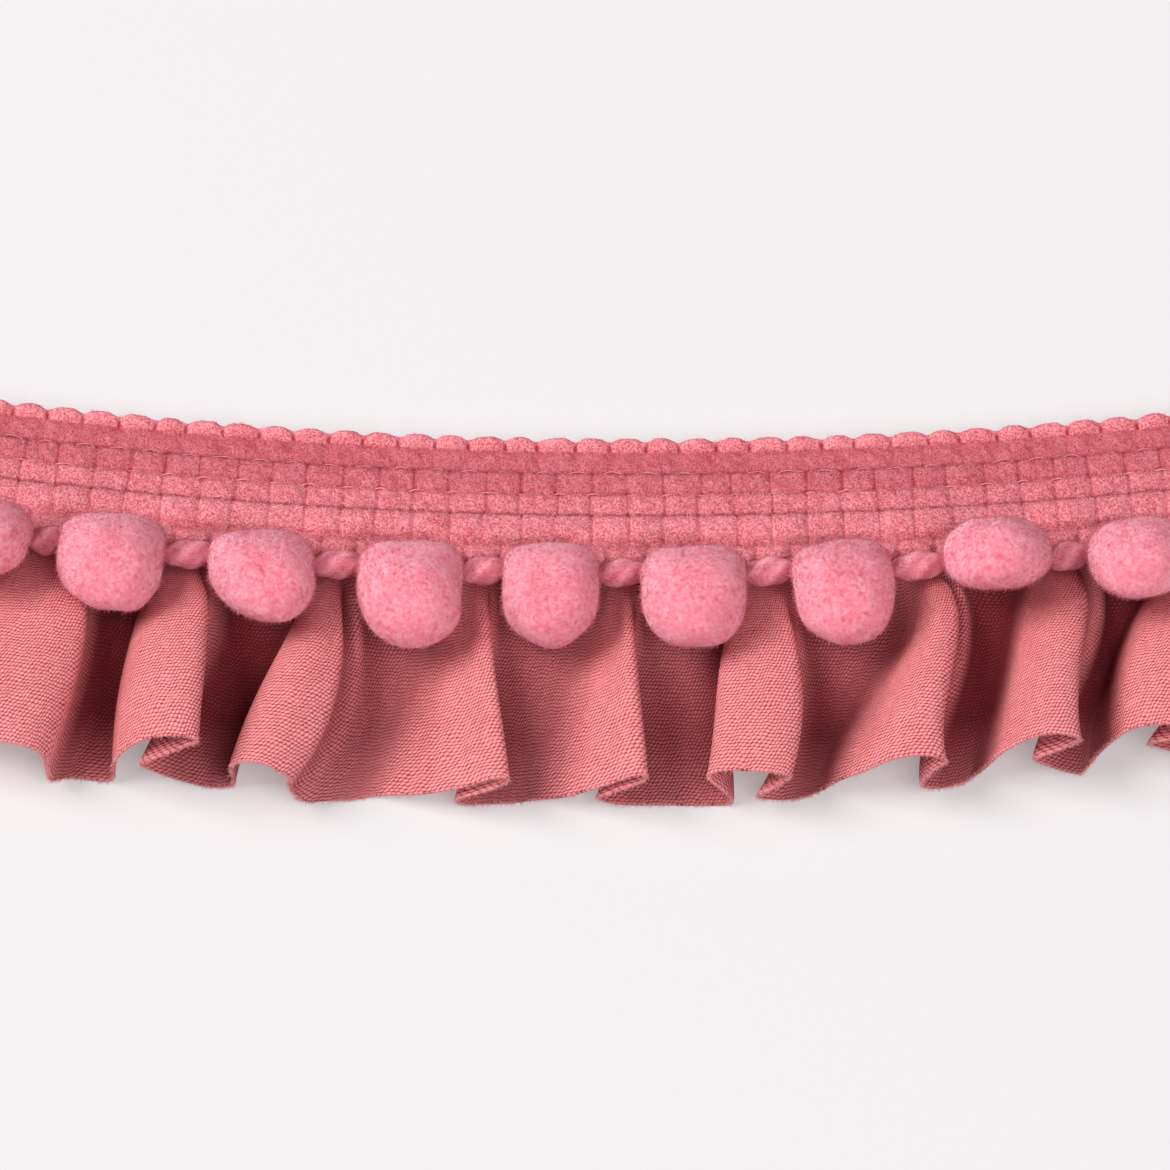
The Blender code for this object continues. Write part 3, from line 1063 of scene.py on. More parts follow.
    def fuzz_roots(self, count: int, seed: int, ribs_only: bool) -> Roots:
        """Where the heading's fibres stand, brushed across the trim.

        Args:
            count: how many fibres.
            seed: picks their places.
            ribs_only: leave the edge loops and the recess out.

        Returns:
            The fibres' roots.
        """
        rng = np.random.default_rng(seed)
        x = rng.uniform(-0.5, 0.5, count) * (self.lay.length - 0.4 * MM)
        widths = np.array([row.width for row in self.rows])
        widths[0] *= 0.5
        if ribs_only:
            widths[:2] = 0.0
        number = rng.choice(len(self.rows), count, p=widths / widths.sum())
        share = rng.uniform(0.02, 0.98, count)
        place = self.surface(x, number, share)
        along = self.surface(x + 0.05 * MM, number, share) - place
        down = self.surface(x, number, np.minimum(share + 0.02, 1.0)) - place
        normals = unit(np.cross(down, along))
        brushed = np.zeros_like(place)
        brushed[:, 1] = rng.choice([-1.0, 1.0], count)
        # The fuzz takes on the cells' painted shade.
        tone = self.tone(x, number, share)
        return Roots(self.lay.bend(place) - normals * self.fuzz_depth, normals, brushed, tone)

    def add_fuzz(self, name: str, style: FibreStyle, roots: Roots, seed: int, swing: float) -> None:
        """Add one kind of fuzz as a piece."""
        mesh = FibreField(style, seed).mesh(name, roots, swing)
        add_piece(name, mesh, Finish.HEADING_FIBRE)

    def make_fuzz(self) -> None:
        """Short straight fibres over all the cells, and curled ones on the ribs."""
        everywhere = self.fuzz_roots(self.fuzz_count, 21, ribs_only=False)
        self.add_fuzz("heading_fuzz", self.fuzz, everywhere, 22, swing=1.3)
        on_ribs = self.fuzz_roots(self.curl_count, 23, ribs_only=True)
        self.add_fuzz("heading_curls", self.curls, on_ribs, 24, swing=2.2)

    def stitch_line(self, stitch: Stitch) -> bpy.types.Mesh:
        """A thread that runs between two rows and comes up once in every cell.

        Args:
            stitch: where it comes up, and how far.

        Returns:
            Its mesh.
        """
        steps = self.lay.cells * self.steps_per_stitch + 1
        x = np.linspace(-self.lay.length / 2, self.lay.length / 2, steps)
        below = self.rows[stitch.row]
        y = self.top - sum(row.width for row in self.rows[: stitch.row])
        phase = self.phase(x, np.full(steps, stitch.row), below.shift)
        lift = np.cos(2 * math.pi * (phase - stitch.at)) - stitch.buried
        uneven = smooth_noise(x, x * 0, 3 * MM, 40 + stitch.row)
        z = below.groove + stitch.rise * (lift + self.stitch_chance * uneven)
        path = np.stack([x, y + self.stitch_wander * uneven + stitch.sway * lift, z], axis=-1)
        thickening = smooth_noise(x, x * 0, 2 * MM, 50 + stitch.row)
        radii = stitch.radius * (1 + self.stitch_thickening * thickening)
        return tube_mesh(f"stitch_{stitch.row}", self.lay.bend(path), radii, 6)

    def make_stitches(self) -> None:
        """The pale stitch threads between the ribs, and the dark one above the deep rib."""
        pale = joined_meshes("rib_stitches", [self.stitch_line(stitch) for stitch in self.pale_stitches])
        add_piece("rib_stitches", pale, Finish.STITCH)
        dark = self.stitch_line(self.dark_stitch)
        add_piece("deep_rib_stitch", dark, Finish.DARK_STITCH)

    def build(self) -> None:
        """Make the heading's pieces."""
        self.make_body()
        self.make_fuzz()
        self.make_stitches()


# ------------------------------------------------------------------ ruffle


class Fold(NamedTuple):
    """One fold of the ruffle at its hem, from left to right, in millimetres.

    The cloth leaves the table at foot, climbs to left, passes over crown and turns at nose.
    Where tuck lies left of nose the fold hangs over itself. It is back on the table at
    landing. more_drop lengthens the cloth on the fold, nose_drop also from its nose to its
    tuck, and valley_drop in the valley before it.
    left_swell and right_swell push the fold's sides along the trim, at a third and at two
    thirds of the way down.
    """

    foot: float
    left: tuple[float, float]
    crown: tuple[float, float]
    nose: tuple[float, float]
    tuck: tuple[float, float]
    landing: float
    more_drop: float
    nose_drop: float
    valley_drop: float
    left_swell: tuple[float, float]
    right_swell: tuple[float, float]


class Crease(NamedTuple):
    """A soft ridge, or a trough where depth is negative, that runs down a fold.

    step tells how many guides past the fold's first it runs, and start and end the shares of
    the drop between which it runs. width is how wide it is, counted in guides.
    """

    fold: int
    step: float
    start: float
    end: float
    depth: float
    width: float


class Guide(NamedTuple):
    """One fall line of the cloth, from the seam to the hem.

    drop is the cloth's length on it, and a lateness above 1 keeps it from moving along the trim
    until it is further down. The swells push it along the trim, at a third and at two thirds
    of the way down. fold is the number of the fold it is in, or -1 between two folds.
    """

    seam_x: float
    seam_z: float
    hem_x: float
    hem_z: float
    drop: float
    lateness: float = 1.0
    third_swell: float = 0.0
    two_thirds_swell: float = 0.0
    fold: int = -1


# Scales the cubics that are 0 at both ends to 1 at a third or at two thirds of the way.
CUBIC_PEAK = 27 / 2


@dataclass
class Ruffle:
    """The gathered cotton strip in its folds."""

    lay: Lay
    cloth: float = 0.42 * MM
    floor_level: float = 0.24 * MM
    seam_y: float = -9.4 * MM
    tucked_in: float = 3.0 * MM
    drop: float = 30.3 * MM
    seam_spread: float = 2.5 * MM
    valley_spread: float = 1.6 * MM
    seam_valley: float = 0.8 * MM
    seam_crest: float = 1.7 * MM
    turn_reach: float = 1.2 * MM
    turn_height: float = 0.95 * MM
    open_turn: float = 0.3
    tuck_lateness: float = 1.7
    crest_starts: float = 0.07
    valley_lands: float = 0.36
    lifted: float = 3.0 * MM
    least_travel: float = 0.5
    hem_start: float = -82.0 * MM
    hem_end: float = 77.2 * MM
    end_cut: float = 0.3 * MM
    tuck_steps: tuple[int, ...] = (6, 7, 8)
    columns_per_guide: int = 4
    rows_down: int = 76
    rows_crowding: float = 1.15
    warp_pitch: float = 0.19 * MM
    weft_pitch: float = 0.46 * MM
    gather_pitch: float = 2.3 * MM
    gather_height: float = 0.22 * MM
    gather_reach: float = 0.12
    gather_start: float = 0.03
    gather_wander: float = 1.6
    unevenness: float = 0.10 * MM
    unevenness_start: float = 0.3
    # Painted shade between the folds: the numbers from neighbourhood to hem_openness set where and how
    # darkly it is painted.
    neighbourhood: float = 7 * MM
    deepest: float = 0.40
    flank: float = 0.09
    darkest_painted_shade: float = 0.02
    opens_at: float = 0.72
    hem_openness: float = 0.45
    folds: tuple[Fold, ...] = (
        Fold(
            -80.0, (-78.6, 5.2), (-76.4, 7.8), (-74.4, 7.4), (-74.2, 3.2), -73.0,
            1.4, 0.4, 1.4, (0, 0), (1, 0.5),
        ),
        Fold(
            -66.2, (-65.2, 6.4), (-60.5, 8.3), (-53.2, 7.4), (-52.4, 3.0), -51.0,
            1.3, 0.7, 1.2, (-1, -1), (4.0, 3.0),
        ),
        Fold(
            -45.4, (-46.4, 6.6), (-41.6, 10.4), (-36.4, 10.2), (-43.4, 5.6), -36.6,
            0.6, 0.5, 0.1, (-1.5, -1.3), (1.8, 1.1),
        ),
        Fold(
            -32.8, (-34.4, 5.8), (-31.0, 8.2), (-27.4, 6.8), (-26.2, 2.6), -22.8,
            1.3, 0.6, -0.3, (0.3, -0.3), (2.0, 2.6),
        ),
        Fold(
            -18.4, (-14.0, 2.4), (-9.4, 4.4), (-4.1, 6.4), (-10.2, 2.2), -7.6,
            0.7, 0.3, 0.4, (0, 0), (0, 0),
        ),
        Fold(
            -1.8, (2.0, 2.4), (5.6, 5.0), (10.3, 6.8), (4.4, 2.5), 7.8,
            0.3, 0.3, 0.2, (0, 0), (0, 0),
        ),
        Fold(
            20.6, (14.6, 5.4), (19.8, 7.2), (25.2, 6.8), (21.2, 3.0), 25.2,
            0.0, 0.7, 0.0, (-1.4, -0.9), (1.6, 1.9),
        ),
        Fold(
            28.6, (34.0, 6.4), (37.4, 8.4), (41.6, 7.8), (38.6, 3.4), 41.8,
            -0.4, 0.6, -0.5, (2.8, 1.2), (3.4, 1.2),
        ),
        Fold(
            44.8, (47.6, 6.6), (51.2, 9.4), (56.0, 9.0), (50.2, 5.0), 55.4,
            -1.1, 0.6, -1.4, (-0.6, 0), (2.4, 0.8),
        ),
        Fold(
            57.4, (60.4, 6.6), (63.8, 8.2), (69.4, 8.0), (62.6, 3.8), 70.4,
            -1.4, 0.4, -1.5, (-1.5, -1.7), (2, 1),
        ),
    )
    creases: tuple[Crease, ...] = (
        Crease(2, 4.8, 0.0, 0.26, -1.2 * MM, 1.0),
        Crease(3, 5.6, 0.0, 0.42, -1.2 * MM, 0.9),
        Crease(7, 6.0, 0.0, 0.45, -1.2 * MM, 0.9),
        Crease(8, 4.6, 0.0, 0.28, -0.6 * MM, 1.0),
        Crease(3, 4.6, 0.1, 1.0, 0.35 * MM, 0.6),
        Crease(6, 3.9, 0.2, 1.0, 0.25 * MM, 0.5),
        Crease(7, 2.3, 0.1, 0.8, 0.25 * MM, 0.6),
    )
    # Painted shade down each crease with a negative depth.
    trough_painted_shade: float = 0.8
    frayed: FibreStyle = FibreStyle((0.3 * MM, 0.75 * MM), 0.055 * MM, (-35, 35), 0.4, 0, 0.6)
    frayed_count: int = 8000
    frayed_roots: tuple[float, float] = (0.05, 0.4)

    @property
    def end_x(self) -> float:
        """How far the cloth's seam reaches to either side, before it is bent."""
        return self.lay.length / 2 - self.end_cut

    def fold_centre(self, index: int) -> float:
        """Where a fold's middle is along the seam."""
        return (index - (len(self.folds) - 1) / 2) * self.lay.pitch

    def valley_drop(self, fold: Fold) -> float:
        """The cloth's length in the valley before a fold."""
        return self.drop + fold.valley_drop * MM

    def hem_points(self, fold: Fold) -> list[tuple[float, float]]:
        """The fold's guide points at the hem.

        Args:
            fold: the fold.

        Returns:
            Ten points from its foot to its landing, each as x and z in metres.
        """
        nose = Vector(fold.nose) * MM
        tuck = Vector(fold.tuck) * MM
        overhang = (nose.x - tuck.x) / (2 * self.turn_reach)
        reach = self.turn_reach * max(-self.open_turn, min(1.0, overhang))
        return [
            (fold.foot * MM, self.floor_level),
            tuple(Vector(fold.left) * MM),
            tuple(Vector(fold.crown) * MM),
            (nose.x - self.turn_reach, nose.y + self.turn_height),
            tuple(nose),
            (nose.x - reach, nose.y - self.turn_height),
            (tuck.x + reach, tuck.y + self.turn_height),
            tuple(tuck),
            (tuck.x + max(reach, self.open_turn * self.turn_reach), tuck.y - self.turn_height),
            (fold.landing * MM, self.floor_level),
        ]

    def valley_guides(self, index: int, last_x: float, last_swell: np.ndarray) -> list[Guide]:
        """The guides of the valley before a fold.

        Args:
            index: the fold's number.
            last_x: where the fold before it is back on the table.
            last_swell: that fold's swells on its right side, in metres.

        Returns:
            The guides, without those whose seam would be past the trim's end.
        """
        fold = self.folds[index]
        left = np.array(fold.left_swell) * MM
        guides = []
        for side in (-1, 1):
            share = 0.5 + side / 6
            seam_x = self.fold_centre(index) - self.lay.pitch / 2 + side * self.valley_spread
            hem_x = last_x + (fold.foot * MM - last_x) * share
            swell = last_swell + (left - last_swell) * share
            ends = (seam_x, self.seam_valley, hem_x, self.floor_level)
            if seam_x > -self.end_x:
                guides.append(Guide(*ends, self.valley_drop(fold), 1.0, *swell))
        return guides

    def fold_guides(self, index: int) -> list[Guide]:
        """The guides of one fold.

        Args:
            index: the fold's number.

        Returns:
            Ten guides, from its foot to its landing.
        """
        fold = self.folds[index]
        after = self.folds[min(index + 1, len(self.folds) - 1)]
        on_fold = self.drop + fold.more_drop * MM
        past_crown = on_fold + fold.nose_drop * MM
        drops = [self.valley_drop(fold), on_fold, on_fold, *[past_crown] * 6, self.valley_drop(after)]
        left, right = np.array(fold.left_swell) * MM, np.array(fold.right_swell) * MM
        points = self.hem_points(fold)
        guides = []
        for step, (point, drop) in enumerate(zip(points, drops)):
            across = 2 * step / (len(points) - 1) - 1
            seam_x = self.fold_centre(index) + across * self.seam_spread
            seam_z = self.seam_valley + (self.seam_crest - self.seam_valley) * (1 - across**2)
            late = self.tuck_lateness if step in self.tuck_steps else 1.0
            swell = left + (right - left) * min(1.0, max(0.0, (step - 1) / 3))
            guides.append(Guide(seam_x, seam_z, *point, drop, late, *swell, index))
        return guides

    def guides(self) -> tuple[np.ndarray, np.ndarray]:
        """Fall lines across all the folds.

        Returns:
            The guides' numbers, one row a guide, and the fold of each guide. There is one guide
            more at either end, so that the spline through them reaches the cloth's ends.
        """
        first, last = self.folds[0], self.folds[-1]
        start = (-self.end_x, self.seam_valley, self.hem_start, self.floor_level)
        end = (self.end_x, self.seam_valley, self.hem_end, self.floor_level)
        guides = [Guide(*start, self.valley_drop(first))]
        last_x, last_swell = self.hem_start, np.zeros(2)
        for index, fold in enumerate(self.folds):
            guides += self.valley_guides(index, last_x, last_swell)
            guides += self.fold_guides(index)
            last_x, last_swell = fold.landing * MM, np.array(fold.right_swell) * MM
        guides.append(Guide(*end, self.valley_drop(last)))
        table = np.array([guide[:-1] for guide in guides])
        before = 2 * table[:1] - table[1:2]
        after = 2 * table[-1:] - table[-2:-1]
        folds = np.array([-1, *[guide.fold for guide in guides], -1])
        return np.concatenate([before, table, after]), folds

    def fall(self, guides: np.ndarray, down: np.ndarray) -> np.ndarray:
        """Places on the fall lines.

        Args:
            guides: the table of guides.
            down: shares of the drop, from 0 at the seam to 1 at the hem.

        Returns:
            Places by share and by guide, in the straight layout.
        """
        seam_x, seam_z, hem_x, hem_z, drop, late, third, two_thirds = guides.T[:, None]
        down = down[:, None]
        rise = np.maximum(0.0, (down - self.crest_starts) / (1 - self.crest_starts))
        crest = 1 - (1 - rise) ** 2
        valley = 1 - (1 - np.minimum(1.0, down / self.valley_lands)) ** 2
        lifted = np.clip((hem_z - self.floor_level) / self.lifted, 0.0, 1.0)
        share = valley + (crest - valley) * lifted
        x = seam_x + (hem_x - seam_x) * down**late
        x = x + CUBIC_PEAK * down * (1 - down) * (third * (2 / 3 - down) + two_thirds * (down - 1 / 3))
        z = seam_z + (hem_z - seam_z) * share
        travel = drop * down
        sideways = (x - seam_x) ** 2 + (z - seam_z) ** 2
        y = self.seam_y - np.sqrt(np.maximum(travel**2 - sideways, (self.least_travel * travel) ** 2))
        return np.stack([x, y, z], axis=-1)

    @staticmethod
    def spline_weights(count: int, places: np.ndarray) -> np.ndarray:
        """Cubic B-spline weights of the guides.

        Args:
            count: how many guides there are.
            places: places across the guides, counted in guides.

        Returns:
            The weights by place and guide.
        """
        weights = np.zeros((len(places), count))
        index = np.minimum(places.astype(int), count - 4)
        t = places - index
        basis = [(1 - t) ** 3, 3 * t**3 - 6 * t**2 + 4, -3 * t**3 + 3 * t**2 + 3 * t + 1, t**3]
        for k, part in enumerate(basis):
            weights[np.arange(len(places)), index + k] = part / 6
        return weights

    def surface(self) -> tuple[np.ndarray, np.ndarray, np.ndarray, np.ndarray]:
        """The cloth's middle surface.

        Returns:
            Its bent places by row and column, the columns' distances along the hem, the rows'
            distances down from the seam, and how much painted shade each place has down the creases.
        """
        guides, folds = self.guides()
        count = len(guides)
        columns = (count - 3) * self.columns_per_guide + 1
        across = np.linspace(0, count - 3, columns)
        weights = self.spline_weights(count, across)
        down = np.linspace(0, 1, self.rows_down) ** self.rows_crowding
        places = np.einsum("cg,rgk->rck", weights, self.fall(guides, down))
        along = self.row_length(places[-1])
        places, trough_shades = self.add_detail(places, across, folds, down, along)
        tucked = [places[:1] + np.array([0, self.tucked_in * part, 0]) for part in (1.0, 0.5)]
        places = np.concatenate([*tucked, places])
        fallen = np.concatenate([[-self.tucked_in, -self.tucked_in / 2], down * self.drop])
        trough_shades = np.concatenate([trough_shades[:1], trough_shades[:1], trough_shades])
        return self.lay.bend(places), along, fallen, trough_shades

    def shades(self, places: np.ndarray, fallen: np.ndarray) -> np.ndarray:
        """How light the cloth is: painted shade where it lies low between its folds, also on their flanks,
        and less toward the open hem.

        Args:
            places: the bent places by row and column.
            fallen: the rows' distances down from the seam.

        Returns:
            The shades by row and column, from 0 to 1.
        """
        shades = []
        openings = np.clip((fallen / self.drop - self.opens_at) / (1 - self.opens_at), 0, 1)
        for row, opening in zip(places, openings):
            x, z = row[:, 0], row[:, 2]
            near = bell(x[:, None] - x[None], self.neighbourhood)
            near *= np.abs(np.gradient(x))[None]
            level = (near * z[None]).sum(1) / near.sum(1)
            # Painted shade: how far the cloth lies below the mean height of its neighbours, flanks
            # included.
            painted_shade = np.clip((level - z + self.flank * np.ptp(z)) / (self.deepest * np.ptp(z)), 0, 1)
            shades.append(1 - (1 - self.darkest_painted_shade) * painted_shade * (1 - self.hem_openness * opening))
        return np.array(shades)

    @staticmethod
    def row_length(row: np.ndarray) -> np.ndarray:
        """Each place's distance along its row."""
        return np.concatenate([[0], np.cumsum(np.linalg.norm(np.diff(row, axis=0), axis=1))])

    def add_detail(
        self,
        places: np.ndarray,
        across: np.ndarray,
        folds: np.ndarray,
        down: np.ndarray,
        along: np.ndarray,
    ) -> tuple[np.ndarray, np.ndarray]:
        """Add the seam's gathers, the creases and a slight unevenness, along the normals.

        Args:
            places: the places by row and column.
            across: each column's place, counted in guides.
            folds: each guide's fold.
            down: each row's share of the drop.
            along: each column's distance along the hem.

        Returns:
            The new places, and the painted shade down each crease's trough at each place, from 0 to 1.
        """
        normals = grid_normals(places)
        seam_x = places[0, :, 0]
        fade = bell(down, self.gather_reach)[:, None]
        phase = smooth_noise(seam_x, seam_x * 0, 8 * MM, 5) * self.gather_wander
        ripple = np.cos(2 * math.pi * seam_x / self.gather_pitch + phase)[None]
        onset = np.minimum(1.0, down / self.gather_start)[:, None]
        offset = self.gather_height * fade * ripple * onset
        s, d = np.meshgrid(along, down * self.drop)
        free = np.minimum(1.0, down / self.unevenness_start)[:, None]
        offset = offset + smooth_noise(s, d * 0.4, 7 * MM, 8) * self.unevenness * free
        trough_shades = np.zeros(places.shape[:2])
        for crease in self.creases:
            guide = np.flatnonzero(folds == crease.fold)[0] - 1
            near = bell(across - guide - crease.step, crease.width)[None]
            middle = (down - crease.start) / (crease.end - crease.start)
            body = np.clip(np.sin(np.clip(middle, 0, 1) * math.pi * 0.75 + 0.2), 0, 1)[:, None]
            body = body * (middle > 0)[:, None]
            offset = offset + crease.depth * near * body
            if crease.depth < 0:
                # Painted shade down the crease.
                trough_shades = np.maximum(trough_shades, self.trough_painted_shade * near * body)
        return places + normals * offset[..., None], trough_shades

    def build(self) -> None:
        """Make the ruffle and the frayed fibres of its hem."""
        places, along, fallen, trough_shades = self.surface()
        # The shade attribute holds painted shade, between the folds and down the creases.
        shades = self.shades(places, fallen) * (1 - trough_shades)
        mesh = finished_mesh("ruffle_cloth", laid_grid(places, shades))
        self.map_weave(mesh, places, fallen)
        piece = add_piece("ruffle_cloth", mesh, Finish.COTTON, ("ruffle",))
        solidify = piece.modifiers.new("Cloth", "SOLIDIFY")
        solidify.thickness = self.cloth
        solidify.offset = 0.0
        frayed = self.make_frayed(places)
        width = float(along[-1])
        length = self.drop + self.tucked_in
        LOG.info("ruffle cut %.1f x %.1f mm", width / MM, length / MM)

    def map_weave(self, mesh: bpy.types.Mesh, places: np.ndarray, fallen: np.ndarray) -> None:
        """Lay the weave on the cloth, with a UV map that counts its yarns.

        Args:
            mesh: the cloth's mesh.
            places: its bent places by row and column.
            fallen: the rows' distances down from the seam.
        """
        warps = self.row_length(places[len(fallen) // 2]) / self.warp_pitch
        u, v = np.meshgrid(warps, fallen / self.weft_pitch)
        uvs = np.stack([u.ravel(), v.ravel()], axis=-1)
        corner = np.zeros(len(mesh.loops), dtype=np.int32)
        mesh.loops.foreach_get("vertex_index", corner)
        layer = mesh.uv_layers.new(name="weave")
        layer.data.foreach_set("uv", uvs[corner].astype(np.float32).ravel())

    def make_frayed(self, places: np.ndarray) -> bpy.types.Object:
        """Short fibre ends along the hem's cut edge.

        Args:
            places: the cloth's bent places by row and column.

        Returns:
            The fibres' piece.
        """
        rng = np.random.default_rng(31)
        count = self.frayed_count
        hem = places[-1]
        outward = unit(places[-1] - places[-2])
        normals = grid_normals(places)[-1]
        at = rng.uniform(0, len(hem) - 1.001, count)
        low = at.astype(int)
        part = (at - low)[:, None]
        root = hem[low] * (1 - part) + hem[low + 1] * part
        root = root + normals[low] * rng.uniform(-0.5, 0.5, (count, 1)) * self.cloth
        root = root - outward[low] * rng.uniform(*self.frayed_roots, (count, 1)) * MM
        roots = Roots(root, normals[low], outward[low])
        mesh = FibreField(self.frayed, 32).mesh("ruffle_frayed_hem", roots, swing=0.6)
        return add_piece("ruffle_frayed_hem", mesh, Finish.COTTON_FIBRE)


# ------------------------------------------------------------------ pompoms and links


class Pompom(NamedTuple):
    """One pompom: its shift along and down the trim, its size and how it lies, in degrees.

    skew moves its bottom along the trim, and squareness is how square its bound top is.
    """

    shift: float
    sag: float
    width: float
    drop: float
    thickness: float
    tilt: float
    swing: float
    skew: float = 0.0
    squareness: float = 8.0


@dataclass
class PompomRow:
    """The pompoms and the bound links between them."""

    lay: Lay
    top_share: float = 0.38
    back_share: float = 0.42
    bottom_squareness: float = 2.1
    roundness: float = 2.4
    top_reach: float = 1.3 * MM
    top_thinning: float = 0.45
    below_axis: float = 2.8 * MM
    above_axis: float = 1.9 * MM
    top_start: float = 1.5
    packing: float = 0.965
    lumps: float = 0.02
    pile_depth: float = 0.05 * MM
    pile_count: int = 7000
    pile: FibreStyle = FibreStyle((0.25 * MM, 0.65 * MM), 0.045 * MM, (0, 30), 0.7, 0, 0.35)
    crown_count: int = 600
    crown: FibreStyle = FibreStyle((0.4 * MM, 1.2 * MM), 0.045 * MM, (2, 30), 0.5, 0, 0.2)
    crown_middle: tuple[float, float, float] = (0.0, 0.62, 0.35)
    crown_spread: tuple[float, float, float] = (1.0, 0.12, 0.5)
    crown_lies: tuple[float, float, float] = (0.0, 1.0, 0.25)
    felt_tone: float = 0.94
    felt_clumps: float = 0.08
    felt_pits: float = 0.48
    felt_pit_level: float = 0.45
    felt_pit_clumping: float = 0.35
    link_radius: float = 1.65 * MM
    link_starts: float = 0.43
    link_ends: float = 0.41
    link_offset: tuple[float, float] = (-0.1 * MM, 0.15 * MM)
    link_flatness: float = 0.95
    link_taper: tuple[float, float] = (0.03, 0.91)
    link_plumpness: float = 0.62
    link_slant: float = 0.5 * MM
    link_strands: int = 3
    link_lay: float = 1.3 * MM
    strand_depth: float = 0.05
    strand_middle: float = 0.82
    strand_shade: float = 0.2
    link_steps: int = 36
    link_sides: int = 28
    link_fuzz_count: int = 500
    link_fuzz: FibreStyle = FibreStyle((0.35 * MM, 0.8 * MM), 0.03 * MM, (3, 25), 0.3)
    table: tuple[Pompom, ...] = (
        Pompom(1.3 * MM, 0.6 * MM, 11.2 * MM, 10.8 * MM, 8.2 * MM, 34, -3),
        Pompom(-0.6 * MM, 0.1 * MM, 12.3 * MM, 11.8 * MM, 8.8 * MM, 17, 2, 0.7 * MM),
        Pompom(-0.1 * MM, 0.7 * MM, 12.1 * MM, 11.0 * MM, 8.4 * MM, 20, 3, 1.5 * MM),
        Pompom(0.1 * MM, 0.5 * MM, 12.2 * MM, 12.0 * MM, 8.8 * MM, 6, 2, 0.5 * MM),
        Pompom(-0.4 * MM, -0.3 * MM, 11.3 * MM, 11.0 * MM, 9.2 * MM, 0, 0),
        Pompom(-1.0 * MM, 0.7 * MM, 12.3 * MM, 11.6 * MM, 8.8 * MM, 10, 2),
        Pompom(-0.7 * MM, -0.5 * MM, 11.8 * MM, 12.3 * MM, 7.8 * MM, 3, 3, 0.0, 3.6),
        Pompom(0.3 * MM, 0.8 * MM, 12.5 * MM, 11.8 * MM, 8.2 * MM, 50, -2, 0.0, 3.4),
        Pompom(-0.3 * MM, 1.1 * MM, 11.6 * MM, 12.2 * MM, 8.4 * MM, 36, 0, 0.0, 4.0),
    )

    def radius(self, way: np.ndarray, size: Pompom, seed: int) -> np.ndarray:
        """How far the pompom's skin is from its centre.

        Args:
            way: unit directions from the centre.
            size: the pompom's sizes.
            seed: picks its lumps.

        Returns:
            One distance for each direction.
        """
        x, y, z = way.T
        tall = size.drop * np.where(y > 0, self.top_share, 1 - self.top_share)
        deep = size.thickness * np.where(z < 0, self.back_share, 1 - self.back_share)
        power = np.where(y > 0, size.squareness, self.bottom_squareness)
        girth = np.abs(x / (size.width / 2)) ** self.roundness + np.abs(z / deep) ** self.roundness
        skin = (girth ** (power / self.roundness) + np.abs(y / tall) ** power) ** (-1 / power)
        lumps = smooth_noise(x * 5 * MM + z * 3 * MM, y * 5 * MM - z * 3 * MM, 4.5 * MM, seed)
        return skin * (self.packing + self.lumps * lumps)

    def skin(self, way: np.ndarray, size: Pompom, seed: int) -> np.ndarray:
        """Places on the pompom's skin, which is drawn up and thinned toward its bound top.

        Args:
            way: unit directions from its centre.
            size: the pompom's sizes.
            seed: picks its lumps.

        Returns:
            One place for each direction, about the centre.
        """
        places = way * self.radius(way, size, seed)[:, None]
        up = np.clip(places[:, 1] / (size.drop * self.top_share), 0, 1) ** self.top_start
        down = np.clip(-places[:, 1] / (size.drop * (1 - self.top_share)), 0, 1)
        places[:, 0] += size.skew * down
        places[:, 1] += self.top_reach * up
        places[:, 2] *= 1 - self.top_thinning * up
        return places

    def placement(self, index: int, size: Pompom) -> np.ndarray:
        """Where a pompom is on the bent trim, and how it lies.

        Args:
            index: its place in the row.
            size: its sizes.

        Returns:
            The matrix that puts it there, from the link axis at the origin.
        """
        x = self.lay.pompom_x(index, size.shift)
        origin = self.lay.bend(np.array([x, self.lay.link_y - size.sag, self.lay.link_z]))
        turn = Matrix.Rotation(x / self.lay.bend_radius + math.radians(size.swing), 4, "Z")
        tilt = Matrix.Rotation(-math.radians(size.tilt), 4, "X")
        return np.array(Matrix.Translation(origin) @ turn @ tilt)

    def centre(self, size: Pompom) -> np.ndarray:
        """The pompom's widest place, from its place on the link axis."""
        lowered = size.drop * (0.5 - self.top_share)
        return np.array([0, -self.below_axis - lowered, self.above_axis])

    def make_pompom(self, index: int, size: Pompom) -> None:
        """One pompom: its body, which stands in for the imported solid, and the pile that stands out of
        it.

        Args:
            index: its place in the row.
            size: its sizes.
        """
        matrix = self.placement(index, size)
        centre = self.centre(size)
        seed = 60 + index
        bm = bmesh.new()
        bmesh.ops.create_icosphere(bm, subdivisions=5, radius=1.0)
        ways = unit(np.array([vertex.co for vertex in bm.verts]))
        skin = self.skin(ways, size, seed)
        lay_corners(bm, (centre + skin) @ matrix[:3, :3].T + matrix[:3, 3], self.felting(skin, seed))
        name = f"pompom_{index + 1:02d}"
        add_piece(f"{name}_body", finished_mesh(f"{name}_body", bm), Finish.POMPOM, (name,))
        self.make_pile(index, size, name)

